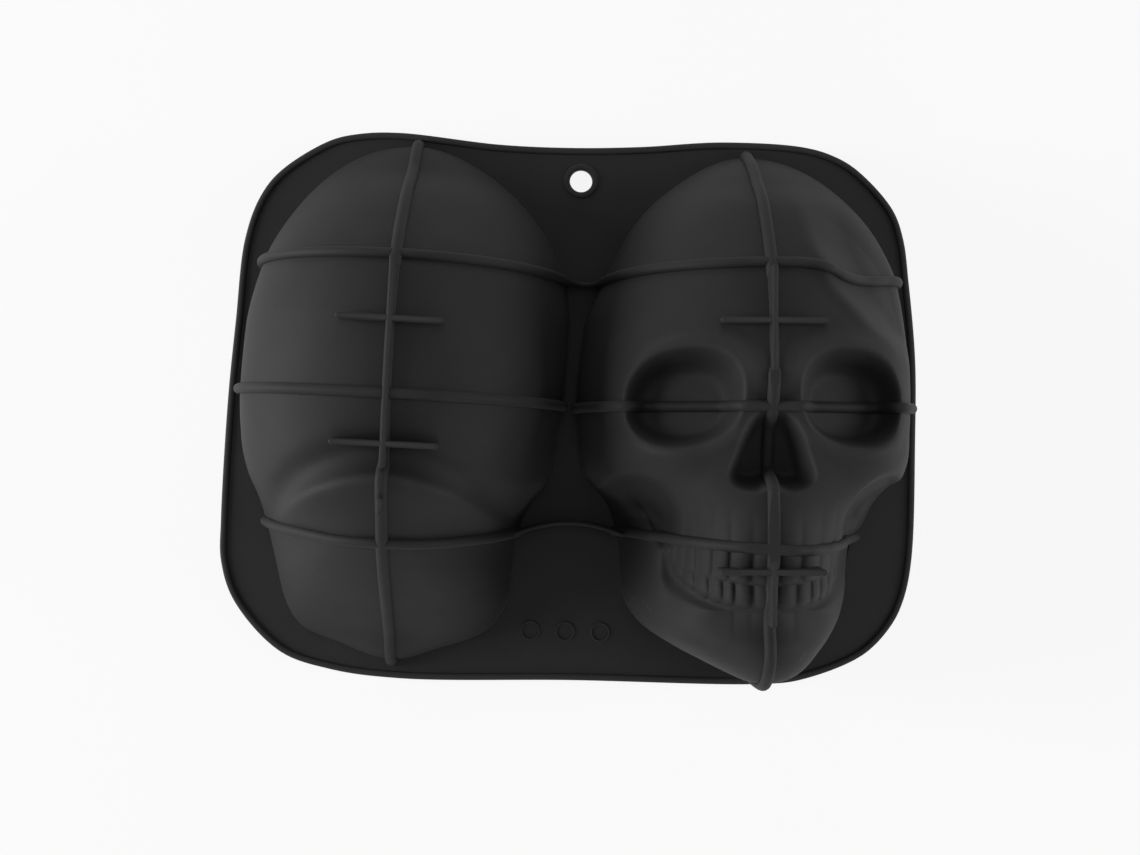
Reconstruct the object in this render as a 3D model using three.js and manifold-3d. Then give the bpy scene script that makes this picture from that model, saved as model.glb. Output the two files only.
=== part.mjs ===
import * as THREE from "three";
import { mergeVertices } from "three/addons/utils/BufferGeometryUtils.js";
import Module from "manifold-3d";

const wasm = await Module();
wasm.setup();

// A silicone mould for a skull cake that is baked in two halves: the back of the skull on the left and the
// face on the right. It lies as it is stored, on the flat sheet that joins the halves, open side down.
// Millimetres. +Z is up from the surface under the sheet, +X runs to the face half and +Y to the crowns.
// The real mould is one moulding. Each moulded feature is a solid of its own here.

// Driving dimensions
const SKULL_LENGTH = 236.8; // crown to chin, where the wall meets the sheet
const SKULL_WIDTH = 147; // across the widest place, the same way
const SKULL_RISE = 81.5; // highest place of a half over the sheet
const WALL = 2.8; // silicone wall of a half
const SHEET = 3; // thickness of the sheet
const VALLEY_WIDTH = 10.2; // between the nominal widths of the two halves
const SPLAY = 1.33; // degrees that each half leans outward at the chin
const SIDE_MARGIN = 8; // sheet beyond the nominal width of a half
const END_MARGIN = 8.2; // sheet beyond each end of a half

const BEAD_WIDTH = 4.6; // stiffening beads across the halves
const SPINE_WIDTH = 5.2; // stiffening beads along their midlines
const FOOT_STAND = 1.5; // cut of the feet above the highest place
const BLADE_WIDTH = 2.6; // upright blades of the feet
const BLADE_DEPTH = 32; // how far down a blade is drawn, before the half is cut from it
const CROSSBAR_LENGTH = 43.7;

const RIM_WIDTH = 3.3; // bead round the edge of the sheet
const RIM_RISE = 1.4;
const HOLE_DIAMETER = 10.4; // hang hole
const COLLAR_WIDTH = 2.9;
const COLLAR_RISE = 1.2;
const WEB_THICKNESS = 1.8; // upright ties between the halves
const WEB_END_RISE = 14; // over the sheet
const CROWN_WEB = { bow: -0.8, middleRise: 7 }; // bow along the valley, and rise in the middle over the sheet
const JAW_WEB = { bow: 4, middleRise: 8 };
const WEB_REACH = 6; // how far a tie is drawn into each half, before the half is cut from it
const MARK_DIAMETER = 9; // rings under the valley
const MARK_LINE = 0.8;
const MARK_RISE = 0.6;
const MARK_PITCH = 16.2;

const GAP = 0.3; // clearance between solids of the one moulding

// The skull's surface is drawn over a plan of its own and stretched to the sizes above.
// u runs across a half to the right, v along it to the crown, and rise is the height over the sheet.
const DRAWN = { halfLength: 118.4, width: 147, rise: 81.5 };
const along = SKULL_LENGTH / 2 / DRAWN.halfLength;
const across = SKULL_WIDTH / DRAWN.width;
const up = SKULL_RISE / DRAWN.rise;

const halfSpacing = SKULL_WIDTH / 2 + VALLEY_WIDTH / 2;
const footHeight = SHEET + SKULL_RISE + FOOT_STAND;

// Curves and steps

/** A smooth curve through [place, value] points that never overshoots them. */
function curve(points) {
  const knots = [...points].sort((a, b) => a[0] - b[0]);
  const spans = knots.slice(1).map((knot, i) => knot[0] - knots[i][0]);
  const slopes = spans.map((span, i) => (knots[i + 1][1] - knots[i][1]) / span);
  const tangents = knots.map((_, i) => {
    if (i === 0) return slopes[0];
    if (i === knots.length - 1) return slopes[i - 1];
    const [before, after] = [slopes[i - 1], slopes[i]];
    return before * after <= 0 ? 0 : (2 * before * after) / (before + after);
  });
  return (place) => {
    const x = Math.min(Math.max(place, knots[0][0]), knots[knots.length - 1][0]);
    let i = 0;
    while (i < spans.length - 1 && x > knots[i + 1][0]) i += 1;
    const s = (x - knots[i][0]) / spans[i];
    const left = knots[i][1] * (1 + 2 * s) * (1 - s) ** 2 + tangents[i] * spans[i] * s * (1 - s) ** 2;
    return left + knots[i + 1][1] * s * s * (3 - 2 * s) + tangents[i + 1] * spans[i] * s * s * (s - 1);
  };
}

/** The angle whose sine is v over the half length: it resolves the two steep ends. */
function endAngle(v) {
  return Math.asin(Math.min(Math.max(v / DRAWN.halfLength, -1), 1));
}

/** A smooth curve over v through [v, value] points, also where it stands upright at an end. */
function alongSkull(points) {
  const overAngle = curve(points.map(([v, value]) => [endAngle(v), value]));
  return (v) => overAngle(endAngle(v));
}

function step(x, low, high) {
  const t = Math.min(Math.max((x - low) / (high - low), 0), 1);
  return t * t * (3 - 2 * t);
}

/** A soft round bump: 1 at distance 0, and 0 from distance 1 on. */
function bump(distance) {
  return distance < 1 ? (1 - distance ** 2) ** 2 : 0;
}

function bell(x, width) {
  return Math.exp(-((x / width) ** 2));
}

// The two halves as drawn: the edge on the sheet to the left and right, the rise of the midline, and the
// fullness of the cross-section, which rises as (1 - q^power)^lift for a place q of the way to the edge

const backHalf = {
  left: alongSkull([[118.4, 0], [113, 25], [88.5, 52.5], [58, 67.5], [29, 72.3], [2.7, 72.7], [-21, 71.9],
    [-34.7, 69.3], [-47, 64.5], [-62, 59.5], [-75, 55.7], [-94, 49.9], [-105, 42], [-113, 21], [-118.4, 0]]),
  right: alongSkull([[118.4, 0], [111.8, 24.7], [94.6, 48.8], [74.4, 64.3], [58.2, 71], [37.7, 73.9],
    [5, 72.6], [-13.7, 70.8], [-32.4, 67.6], [-42, 61.6], [-51.5, 56.9], [-61, 54.7], [-76, 53.5],
    [-86, 52.7], [-99.4, 46.5], [-104.7, 40.7], [-113.7, 18.1], [-118.4, 0]]),
  spine: alongSkull([[118.4, 0], [105, 18], [89.5, 41], [77, 55], [64, 66.5], [52, 73.5], [32, 78.5],
    [8, 79.5], [-15, 78], [-33, 76], [-46, 72.5], [-59, 66.5], [-70, 57], [-81, 44.5], [-93, 30],
    [-106, 14.5], [-118.4, 0]]),
  power: alongSkull([[118.4, 2], [60, 2.1], [0, 2.3], [-30, 2.3], [-58, 2], [-80, 2.4], [-118.4, 2.6]]),
  lift: alongSkull([[118.4, 0.7], [60, 0.62], [0, 0.52], [-30, 0.62], [-58, 0.9], [-80, 0.8],
    [-118.4, 0.6]]),
  sculpt: nape,
};

const faceHalf = {
  left: alongSkull([[118.4, 0], [109.2, 26.4], [89.4, 49.6], [58.6, 66.8], [38, 74.6], [2, 78], [-13, 77.1],
    [-26, 75.5], [-34, 70.5], [-42, 64.3], [-53, 60.5], [-75, 57.3], [-82, 56.6], [-90, 54], [-96.5, 49],
    [-104, 37.5], [-109, 27], [-114.5, 14.5], [-118.4, 0]]),
  right: alongSkull([[118.4, 0], [112, 26], [93.6, 48.5], [75, 62], [58, 70], [30, 73.5], [4, 74], [-15, 74],
    [-28, 73], [-34, 66], [-41, 57], [-56, 50], [-62, 48], [-82, 46], [-90, 42.5], [-97, 37], [-104, 31],
    [-110, 25.5], [-115.5, 17.5], [-118.4, 0]]),
  spine: alongSkull([[118.4, 0], [117, 5], [101, 33], [88, 51], [76, 61.5], [65, 69.5], [58, 73.5],
    [36, 78.5], [20, 79], [8, 79.5], [-8, 78.5], [-24, 79], [-38, 80.8], [-48, 81.5], [-56, 81.5],
    [-60, 80.6], [-66, 78.6], [-84, 75], [-98, 73], [-106, 70], [-112, 65], [-115.5, 57], [-118.4, 0]]),
  power: alongSkull([[118.4, 2], [60, 2.1], [0, 2.6], [-20, 2.4], [-45, 2.3], [-58, 2.6], [-80, 2.3],
    [-118.4, 2.4]]),
  lift: alongSkull([[118.4, 0.7], [60, 0.6], [0, 0.6], [-20, 0.62], [-45, 1.1], [-58, 1.5], [-80, 1],
    [-100, 0.7], [-118.4, 0.5]]),
  sculpt: face,
};

/** Back of the skull: an arched ridge across the nape with a shallow valley above it. */
function nape(u, v, rise) {
  const past = v - (-33.5 - 0.0085 * u * u);
  const fade = step(54 - Math.abs(u), 0, 30);
  const ridge = 4.6 * bell(past, past > 0 ? 5.5 : 11);
  const valley = 3.2 * bell(past - 15, 9);
  return rise + fade * (ridge - valley);
}

const socket = { u: 34.8, v: 5.2, halfWidth: 22.8, halfHeight: 19.6, droop: 0.1, squareness: 2.3 };
const noseHalfWidth = curve([[-32, 15.5], [-28, 16.3], [-20, 13.8], [-8, 8.2], [-3, 4.5], [0, 0.5]]);
const templeCrest = curve([[20, 60], [27, 52], [33.5, 42.7], [42.4, 33.8], [50, 26.7], [62, 22.5], [71, 18.6],
  [85, 17.2], [100, 16]]);
const teeth = { halfWidth: 42, top: 13, bottom: 10, stand: 1 };
const upperGaps = [-38.6, -36, -33, -28.9, -23, -16.6, -8.1, 2, 12, 21.4, 29, 35.4];
const lowerGaps = [-37.5, -33.7, -29.3, -24.1, -18.8, -14.5, -7.2, 1.7, 10.6, 17.5, 22.6, 27.4, 32, 36.4];

/** Distance over the plan from a socket's middle, 1 on its rim. side is -1 on the left and 1 on the right. */
function socketDistance(u, v, side) {
  const du = side * u - socket.u;
  const dv = v - socket.v + socket.droop * du;
  const sum = Math.abs(du / socket.halfWidth) ** socket.squareness
    + Math.abs(dv / socket.halfHeight) ** socket.squareness;
  return sum ** (1 / socket.squareness);
}

/** Place along the skull of the bite line. */
function biteLine(u) {
  return -72 + 0.004 * u * u;
}

/** Hollow behind the crest of the outer temple. */
function temple(u, v) {
  const fade = step(v, 14, 34) * step(108 - v, 0, 26);
  return 15 * fade * step(u - templeCrest(v), -6, 24) * step(72 - u, 0, 18);
}

/** Brow over a socket, cheekbone under it, the hollow below and the branch of the jaw. */
function cheekSide(u, v, rise, side) {
  const a = Math.abs(u);
  const s = side * u;
  const rim = socketDistance(u, v, side);
  const upper = step(v, 4, 18);
  const brow = 3.2 * upper * bell(rim - 1.28, 0.22) * step(62 - a, 0, 12);
  const orbit = 2 * (1 - upper) * bell(rim - 1.2, 0.16) * step(66 - a, 0, 12) * step(a, 8, 16);
  const cheekbone = 5 * bump(Math.hypot((s - 50) / 26, (v + 20 - 0.05 * (s - 50)) / 15));
  const hollow = 13 * bump(Math.hypot((s - 47 - 0.3 * (v + 42)) / 13, (v + 42) / 15));
  const branch = (side < 0 ? 5 : 3) * bump(Math.hypot((s - 50 - 0.1 * (v + 70)) / 9, (v + 72) / 34));
  return brow + orbit + cheekbone - hollow * Math.min(rise / 40, 1) + branch;
}

/** Face: temple, brows, cheekbones, sockets, nose, band of teeth and chin. */
function face(u, v, base) {
  const a = Math.abs(u);
  let rise = base - temple(u, v) * Math.min(base / 50, 1);
  rise += cheekSide(u, v, rise, -1) + cheekSide(u, v, rise, 1);
  rise -= 2 * bell(u, 9) * bell(v - 1, 6);
  for (const side of [-1, 1]) {
    const floor = 52 - 0.28 * (side * u - 34) + 0.05 * (v - 5);
    const depth = step(1.04 - socketDistance(u, v, side), 0, 0.42);
    rise += (Math.min(floor, rise) - rise) * depth;
  }
  const sill = -32 + 1.8 * bell(u, 4.5) + 0.012 * a * a;
  const opening = step(noseHalfWidth(v) - a, -1.2, 3.6) * step(v, sill - 1.5, sill + 3.5) * step(-v, -1, 6);
  rise += (Math.min(61.5, rise) - rise) * opening;
  const above = v - biteLine(u);
  const band = step(above, -teeth.bottom - 1.5, -teeth.bottom + 1.5) * step(teeth.top + 1.5 - above, 0, 3);
  rise += teeth.stand * band * step(teeth.halfWidth - a, 0, 5);
  rise -= 2.5 * bell(v + 90, 6) * step(34 - a, 0, 16);
  rise += 2 * bump(Math.hypot(u / 20, (v + 103) / 11));
  return Math.max(rise, 0);
}

/** Drawn half-width of a half at v, on the side that u lies on. */
function edge(half, u, v) {
  return u < 0 ? half.left(v) : half.right(v);
}

/** Drawn rise of a half over the sheet, 0 outside its edge. */
function drawnRise(half, u, v) {
  const q = Math.min(Math.abs(u) / Math.max(edge(half, u, v), 1e-6), 1);
  const dome = half.spine(v) * (1 - q ** half.power(v)) ** half.lift(v);
  return q < 1 ? Math.max(half.sculpt(u, v, dome), 0) : 0;
}

/** Real height of a half's outer surface over a real place on its plan. */
function surface(half, x, y) {
  return SHEET + up * drawnRise(half, x / across, y / along);
}

/** Real height of the cavity's surface: the outer one set in by the wall, at right angles to it. */
function cavity(half, x, y) {
  let height = surface(half, x, y) - WALL;
  for (const [reach, directions] of [[0.5, 8], [0.94, 16]]) {
    for (let i = 0; i < directions; i += 1) {
      const angle = (2 * Math.PI * i) / directions;
      const [dx, dy] = [reach * WALL * Math.cos(angle), reach * WALL * Math.sin(angle)];
      height = Math.min(height, surface(half, x + dx, y + dy) - WALL * Math.sqrt(1 - reach ** 2));
    }
  }
  return height;
}

// Meshes and solids

/** Rows along a half: each segment is [from v, to v, steps], evenly spaced by end angle. */
function rowStations(segments) {
  const rows = [];
  for (const [from, to, steps] of segments) {
    for (let i = 1; i <= steps; i += 1) {
      rows.push(DRAWN.halfLength * Math.sin(THREE.MathUtils.lerp(endAngle(from), endAngle(to), i / steps)));
    }
  }
  return rows.slice(0, -1);
}

/** Columns across a half, as shares of the way from the midline to the edge, closer together at the wall. */
function columnStations(steps) {
  const wall = [0.92, 0.96, 0.985, 1];
  const crown = Array.from({ length: steps }, (_, i) => (0.86 * (i + 1)) / steps);
  const side = [...crown, ...wall];
  return [...side.map((q) => -q).reverse(), 0, ...side];
}

/** Points [x, y] of a half's plan, row by row between its two tips, drawn in by a margin. */
function planRows(half, rows, columns, margin) {
  const lengthShare = 1 - margin / (SKULL_LENGTH / 2);
  const widthShare = 1 - margin / (SKULL_WIDTH / 2);
  const place = (v, q) => [q * edge(half, q, v) * across * widthShare, v * along * lengthShare];
  const body = rows.map((v) => columns.map((q) => place(v, q)));
  const tip = (SKULL_LENGTH / 2) * lengthShare;
  return { body, crown: [0, tip], chin: [0, -tip] };
}

/** A closed body under a height over the plan, with upright sides down to the base. */
function domeGeometry(plan, height, base, outward = 0) {
  const width = plan.body[0].length;
  const flat = [plan.crown, ...plan.body.flat(), plan.chin];
  const at = (row, column) => 1 + row * width + column;
  const last = flat.length - 1;
  const top = [];
  for (let c = 0; c < width - 1; c += 1) {
    top.push(0, at(0, c), at(0, c + 1));
    top.push(at(plan.body.length - 1, c), last, at(plan.body.length - 1, c + 1));
    for (let r = 0; r < plan.body.length - 1; r += 1) {
      top.push(at(r, c), at(r + 1, c), at(r, c + 1));
      top.push(at(r, c + 1), at(r + 1, c), at(r + 1, c + 1));
    }
  }
  const left = plan.body.map((_, r) => at(r, 0));
  const right = plan.body.map((_, r) => at(r, width - 1)).reverse();
  const loop = [0, ...left, last, ...right];
  const raised = flat.flatMap(([x, y]) => [x, y, height(x, y)]);
  const shell = new THREE.BufferGeometry();
  shell.setIndex(top);
  shell.setAttribute("position", new THREE.Float32BufferAttribute(raised, 3));
  shell.computeVertexNormals();
  const { position, normal } = shell.attributes;
  const points = flat.map((_, i) => {
    const shift = new THREE.Vector3().fromBufferAttribute(normal, i).multiplyScalar(outward);
    return new THREE.Vector3().fromBufferAttribute(position, i).add(shift);
  });
  if (outward > 0) {
    loop.forEach((index, i) => {
      const [ahead, behind] = [flat[loop[(i + 1) % loop.length]], flat[loop.at(i - 1)]];
      const aside = new THREE.Vector3(ahead[1] - behind[1], behind[0] - ahead[0], 0).setLength(outward);
      points[index].set(...flat[index], height(...flat[index])).add(aside);
    });
  }
  const foot = loop.map((index) => new THREE.Vector3(points[index].x, points[index].y, base));
  const vertices = [...points, ...foot].flatMap((point) => point.toArray());
  const index = [...top];
  loop.forEach((point, i) => {
    const next = (i + 1) % loop.length;
    index.push(point, flat.length + i, flat.length + next);
    index.push(point, flat.length + next, loop[next]);
  });
  const outline = foot.map((point) => new THREE.Vector2(point.x, point.y));
  for (const [a, b, c] of THREE.ShapeUtils.triangulateShape(outline, [])) {
    index.push(flat.length + a, flat.length + c, flat.length + b);
  }
  const geometry = new THREE.BufferGeometry();
  geometry.setIndex(index);
  geometry.setAttribute("position", new THREE.Float32BufferAttribute(vertices, 3));
  return geometry;
}

/** The closed solid of a geometry. */
function solid(geometry) {
  const bare = geometry.clone();
  bare.deleteAttribute("normal");
  bare.deleteAttribute("uv");
  const merged = mergeVertices(bare, 1e-4);
  return new wasm.Manifold(new wasm.Mesh({
    numProp: 3,
    vertProperties: new Float32Array(merged.attributes.position.array),
    triVerts: new Uint32Array(merged.index.array),
  }));
}

function boxSolid(low, high) {
  const size = high.map((value, i) => value - low[i]);
  const middle = high.map((value, i) => (value + low[i]) / 2);
  return solid(new THREE.BoxGeometry(...size).translate(...middle));
}

const FAR = 400;
const belowSheet = boxSolid([-FAR, -FAR, -FAR], [FAR, FAR, SHEET]);
const nearSheet = boxSolid([-FAR, -FAR, -FAR], [FAR, FAR, SHEET + GAP]);
const aboveFeet = boxSolid([-FAR, -FAR, footHeight], [FAR, FAR, FAR]);
const besideSpine = SPINE_WIDTH / 2 + GAP;
const leftAndSpine = boxSolid([-FAR, -FAR, -FAR], [besideSpine, FAR, FAR]);
const rightAndSpine = boxSolid([-besideSpine, -FAR, -FAR], [FAR, FAR, FAR]);

/** What is left of a solid after others are cut from it. */
function without(body, ...cutters) {
  return cutters.reduce((rest, cutter) => rest.subtract(cutter), body);
}

function meshOf(name, body, material) {
  const result = body.getMesh();
  const geometry = new THREE.BufferGeometry();
  geometry.setAttribute("position", new THREE.BufferAttribute(new Float32Array(result.vertProperties), 3));
  geometry.setIndex(new THREE.BufferAttribute(new Uint32Array(result.triVerts), 1));
  geometry.computeVertexNormals();
  const mesh = new THREE.Mesh(geometry, material);
  mesh.name = name;
  return mesh;
}

/** Rings of points joined into a closed skin. A ring runs anticlockwise seen from the end it leads to. */
function skin(rings, closed) {
  const size = rings[0].length;
  const index = [];
  const turns = closed ? rings.length : rings.length - 1;
  for (let i = 0; i < turns; i += 1) {
    const next = ((i + 1) % rings.length) * size;
    for (let j = 0; j < size; j += 1) {
      const k = (j + 1) % size;
      index.push(i * size + j, i * size + k, next + k, i * size + j, next + k, next + j);
    }
  }
  if (!closed) {
    const end = (rings.length - 1) * size;
    for (let j = 1; j < size - 1; j += 1) index.push(0, j + 1, j, end, end + j, end + j + 1);
  }
  const vertices = rings.flat().flatMap((point) => point.toArray());
  const geometry = new THREE.BufferGeometry();
  geometry.setIndex(index);
  geometry.setAttribute("position", new THREE.Float32BufferAttribute(vertices, 3));
  return geometry;
}

/** The points of a path that its bends need: one at each turn of some degrees, and none too far apart. */
function stationsOf(path) {
  const TURN = THREE.MathUtils.degToRad(13);
  const LONGEST = 16;
  const SHORTEST = 1.6;
  const kept = [path[0]];
  let heading = path[1].clone().sub(path[0]);
  for (let i = 1; i < path.length - 1; i += 1) {
    const ahead = path[i + 1].clone().sub(path[i]);
    const distance = path[i].distanceTo(kept.at(-1));
    if (distance > SHORTEST && (ahead.angleTo(heading) > TURN || distance > LONGEST)) {
      kept.push(path[i]);
      heading = ahead;
    }
  }
  return [...kept, path.at(-1)];
}

/** A round bead along a path in or near one upright plane, with round ends. across is that plane's normal. */
function beadGeometry(path, radius, across) {
  const SIDES = 8;
  const points = stationsOf(path);
  const stations = points.map((point, i) => {
    const [ahead, behind] = [points[Math.min(i + 1, points.length - 1)], points[Math.max(i - 1, 0)]];
    return { point, tangent: ahead.clone().sub(behind).normalize(), radius };
  });
  const [first, final] = [stations[0], stations.at(-1)];
  const cap = (station, sense) => [0.45, 0.85].map((share) => ({
    point: station.point.clone().addScaledVector(station.tangent, sense * radius * share),
    tangent: station.tangent,
    radius: radius * Math.sqrt(1 - share ** 2),
  }));
  const all = [...cap(first, -1).reverse(), ...stations, ...cap(final, 1)];
  const rings = all.map((station) => {
    const side = new THREE.Vector3().crossVectors(across, station.tangent).normalize();
    return Array.from({ length: SIDES }, (_, j) => {
      const angle = (2 * Math.PI * (j + 0.5)) / SIDES;
      return station.point.clone()
        .addScaledVector(side, station.radius * Math.cos(angle))
        .addScaledVector(across, station.radius * Math.sin(angle));
    });
  });
  return skin(rings, false);
}

/** Plan outline of a bar with round ends. */
function barShape(length, width) {
  const shape = new THREE.Shape();
  const straight = length / 2 - width / 2;
  shape.absarc(straight, 0, width / 2, -Math.PI / 2, Math.PI / 2);
  shape.absarc(-straight, 0, width / 2, Math.PI / 2, (3 * Math.PI) / 2);
  return shape;
}

/** An upright blade with round ends that stands up to the height of the feet, centred on the midline. */
function blade(y, length, turn) {
  const options = { depth: BLADE_DEPTH, bevelEnabled: false, curveSegments: 4 };
  const bar = new THREE.ExtrudeGeometry(barShape(length, BLADE_WIDTH), options);
  return solid(bar.rotateZ(turn).translate(0, y, footHeight - BLADE_DEPTH));
}

/** A blade between two drawn places on the midline. */
function midlineBlade(from, to) {
  return blade(((from + to) / 2) * along, (from - to) * along, Math.PI / 2);
}

/** A foot: a blade and its crossbars joined, standing clear of the surface and beads under them. */
function foot(half, [from, to], crossbars) {
  const bars = crossbars.map((v) => blade(v * along, CROSSBAR_LENGTH, 0));
  const whole = bars.reduce((all, bar) => all.add(bar), midlineBlade(from, to));
  return without(whole, half.inflated, ...half.beads);
}

// Beads over the halves

const ACROSS_X = new THREE.Vector3(1, 0, 0);
const ACROSS_Y = new THREE.Vector3(0, 1, 0);
const BURIED = SHEET - 2; // height at which the paths of the beads end, inside the sheet
const PATH_STEPS = 240; // even, so that a path across a half has a point on the midline

/** Path of the bead along the midline, over the surface from the crown to the chin. */
function spinePath(half) {
  const path = Array.from({ length: PATH_STEPS + 1 }, (_, i) => {
    const y = (SKULL_LENGTH / 2) * Math.cos((Math.PI * i) / PATH_STEPS);
    return new THREE.Vector3(0, y, surface(half, 0, y));
  });
  return [path[0].clone().setZ(BURIED), ...path, path.at(-1).clone().setZ(BURIED)];
}

/** Path of a bead across a half, over the surface from its left edge to its right. place(u) is its v. */
function crossPath(half, place) {
  const path = Array.from({ length: PATH_STEPS + 1 }, (_, i) => {
    const q = Math.sin((Math.PI * (i - PATH_STEPS / 2)) / PATH_STEPS);
    const u = q * edge(half, q, place(0));
    const onHalf = 0.999 * edge(half, q, place(u));
    const [x, y] = [Math.sign(q) * Math.min(Math.abs(u), onHalf) * across, place(u) * along];
    return new THREE.Vector3(x, y, surface(half, x, y));
  });
  return [path[0].clone().setZ(BURIED), ...path, path.at(-1).clone().setZ(BURIED)];
}

/** A bead over a half, cut free of the surface, the sheet and the plane of the feet. */
function bead(half, path, width, acrossAxis, ...beyond) {
  const body = solid(beadGeometry(path, width / 2, acrossAxis));
  return without(body, half.inflated, nearSheet, aboveFeet, ...beyond);
}

const materials = {
  silicone: new THREE.MeshStandardMaterial({ color: 0x262627, roughness: 0.55, metalness: 0 }),
};

/** The shell, beads and feet of one half, in a group that stands at its place on the sheet. */
function buildHalf(half, { name, side, rows, columns, cavityRows, cavityColumns, beads, feet, cuts }) {
  const plan = planRows(half, rowStations(rows), columnStations(columns), 0);
  const inner = planRows(half, rowStations(cavityRows), columnStations(cavityColumns), 1.25 * WALL);
  const outside = (x, y) => surface(half, x, y);
  const inside = (x, y) => Math.max(cavity(half, x, y), SHEET + 0.5);
  half.inflated = solid(domeGeometry(plan, outside, -SHEET, GAP));
  half.mouth = domeGeometry(inner, inside, -SHEET);
  const outer = solid(domeGeometry(plan, outside, -SHEET));
  const shell = without(outer, belowSheet, solid(half.mouth), ...cuts);

  const spine = spinePath(half);
  half.beads = [solid(beadGeometry(spine, SPINE_WIDTH / 2 + GAP, ACROSS_X))];
  const group = new THREE.Group();
  group.add(meshOf(`${name}_cavity_shell`, shell, materials.silicone));
  group.add(meshOf(`${name}_spine_rib`, bead(half, spine, SPINE_WIDTH, ACROSS_X), materials.silicone));
  for (const [label, place] of beads) {
    const path = crossPath(half, place);
    half.beads.push(solid(beadGeometry(path, BEAD_WIDTH / 2 + GAP, ACROSS_Y)));
    for (const [end, beyond] of [["left", rightAndSpine], ["right", leftAndSpine]]) {
      const body = bead(half, path, BEAD_WIDTH, ACROSS_Y, beyond);
      group.add(meshOf(`${name}_${label}_rib_${end}`, body, materials.silicone));
    }
  }
  for (const [label, span, crossbars] of feet) {
    group.add(meshOf(label, foot(half, span, crossbars), materials.silicone));
  }
  group.position.set(side * halfSpacing, 0, 0);
  group.rotation.z = THREE.MathUtils.degToRad(side * SPLAY);
  group.updateMatrix();
  half.place = (geometry) => solid(geometry.clone().applyMatrix4(group.matrix));
  half.moved = (body) => body.transform(group.matrix.elements);
  half.matrixed = (point) => point.applyMatrix4(group.matrix);
  return group;
}

// Teeth: gaps cut into the raised band

const TOOTH_GAP = { width: 1.5, depth: 1.1 };
const BITE_GAP = { width: 1.8, depth: 1.4 };
const SLOPE_REACH = 1.5; // how far to each side the slope under a gap is taken

/** A real place on the face over a drawn one, and the direction out of the surface there. */
function onFace([u, v]) {
  const [x, y] = [u * across, v * along];
  const height = (dx, dy) => surface(faceHalf, x + dx, y + dy);
  const slopeX = (height(SLOPE_REACH, 0) - height(-SLOPE_REACH, 0)) / (2 * SLOPE_REACH);
  const slopeY = (height(0, SLOPE_REACH) - height(0, -SLOPE_REACH)) / (2 * SLOPE_REACH);
  const normal = new THREE.Vector3(-slopeX, -slopeY, 1).normalize();
  return { point: new THREE.Vector3(x, y, height(0, 0)), normal };
}

/** A wedge along a line of drawn places on the face, to cut a groove of a width and depth. */
function groove(places, { width, depth }) {
  const spots = places.map(onFace);
  const rings = spots.map(({ point, normal }, i) => {
    const [ahead, behind] = [spots[Math.min(i + 1, spots.length - 1)], spots[Math.max(i - 1, 0)]];
    const run = ahead.point.clone().sub(behind.point);
    const aside = new THREE.Vector3().crossVectors(normal, run).normalize();
    const lip = point.clone().addScaledVector(normal, depth);
    return [
      lip.clone().addScaledVector(aside, -width),
      point.clone().addScaledVector(normal, -depth),
      lip.clone().addScaledVector(aside, width),
    ];
  });
  return solid(skin(rings, false));
}

function teethGrooves() {
  const upright = (u, low, high) => groove([[u, biteLine(u) + low], [u, biteLine(u) + high]], TOOTH_GAP);
  return [
    ...upperGaps.map((u) => upright(u, 0, teeth.top)),
    ...lowerGaps.map((u) => upright(u, -teeth.bottom, 0)),
    groove(upperGaps.map((u) => [u, biteLine(u)]), BITE_GAP),
  ];
}

// The halves, with the drawn places of their beads and feet

const backCrown = 59.5;
const backJaw = -59.8;
const faceCrown = curve([[-70, 58.4], [-59, 59.3], [-30, 60], [8, 60.6], [17, 60.1], [24.6, 58.2], [30.5, 56],
  [37, 55.2], [46, 55.6], [56, 57.2], [66, 58.4], [75, 58.6]]);
const faceJaw = curve([[-60, -55.2], [-36, -55.4], [-10, -56.5], [19, -57.8], [50, -57.6]]);

const back = buildHalf(backHalf, {
  name: "back",
  side: -1,
  rows: [[118.4, 84, 6], [84, -18, 10], [-18, -60, 9], [-60, -104, 6], [-104, -118.4, 4]],
  columns: 8,
  cavityRows: [[118.4, 84, 4], [84, -84, 11], [-84, -118.4, 4]],
  cavityColumns: 6,
  beads: [["crown", () => backCrown], ["middle", () => 1.8], ["jaw", () => backJaw]],
  feet: [["back_foot", [58, -29], [32, -18.8]], ["back_foot_tail", [-40.5, -47.5], []]],
  cuts: [],
});

const front = buildHalf(faceHalf, {
  name: "face",
  side: 1,
  rows: [[118.4, 84, 6], [84, 28, 7], [28, -36, 17], [-36, -54, 4], [-54, -84, 9], [-84, -106, 4],
    [-106, -118.4, 6]],
  columns: 12,
  cavityRows: [[118.4, 84, 4], [84, -84, 20], [-84, -118.4, 4]],
  cavityColumns: 9,
  beads: [["crown", faceCrown], ["eye", () => 1.2], ["jaw", faceJaw]],
  feet: [["forehead_foot", [58.5, 15], [35.9]], ["mouth_foot", [-61, -89], [-66.3]]],
  cuts: teethGrooves(),
});

// The sheet and what stands on it

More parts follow.
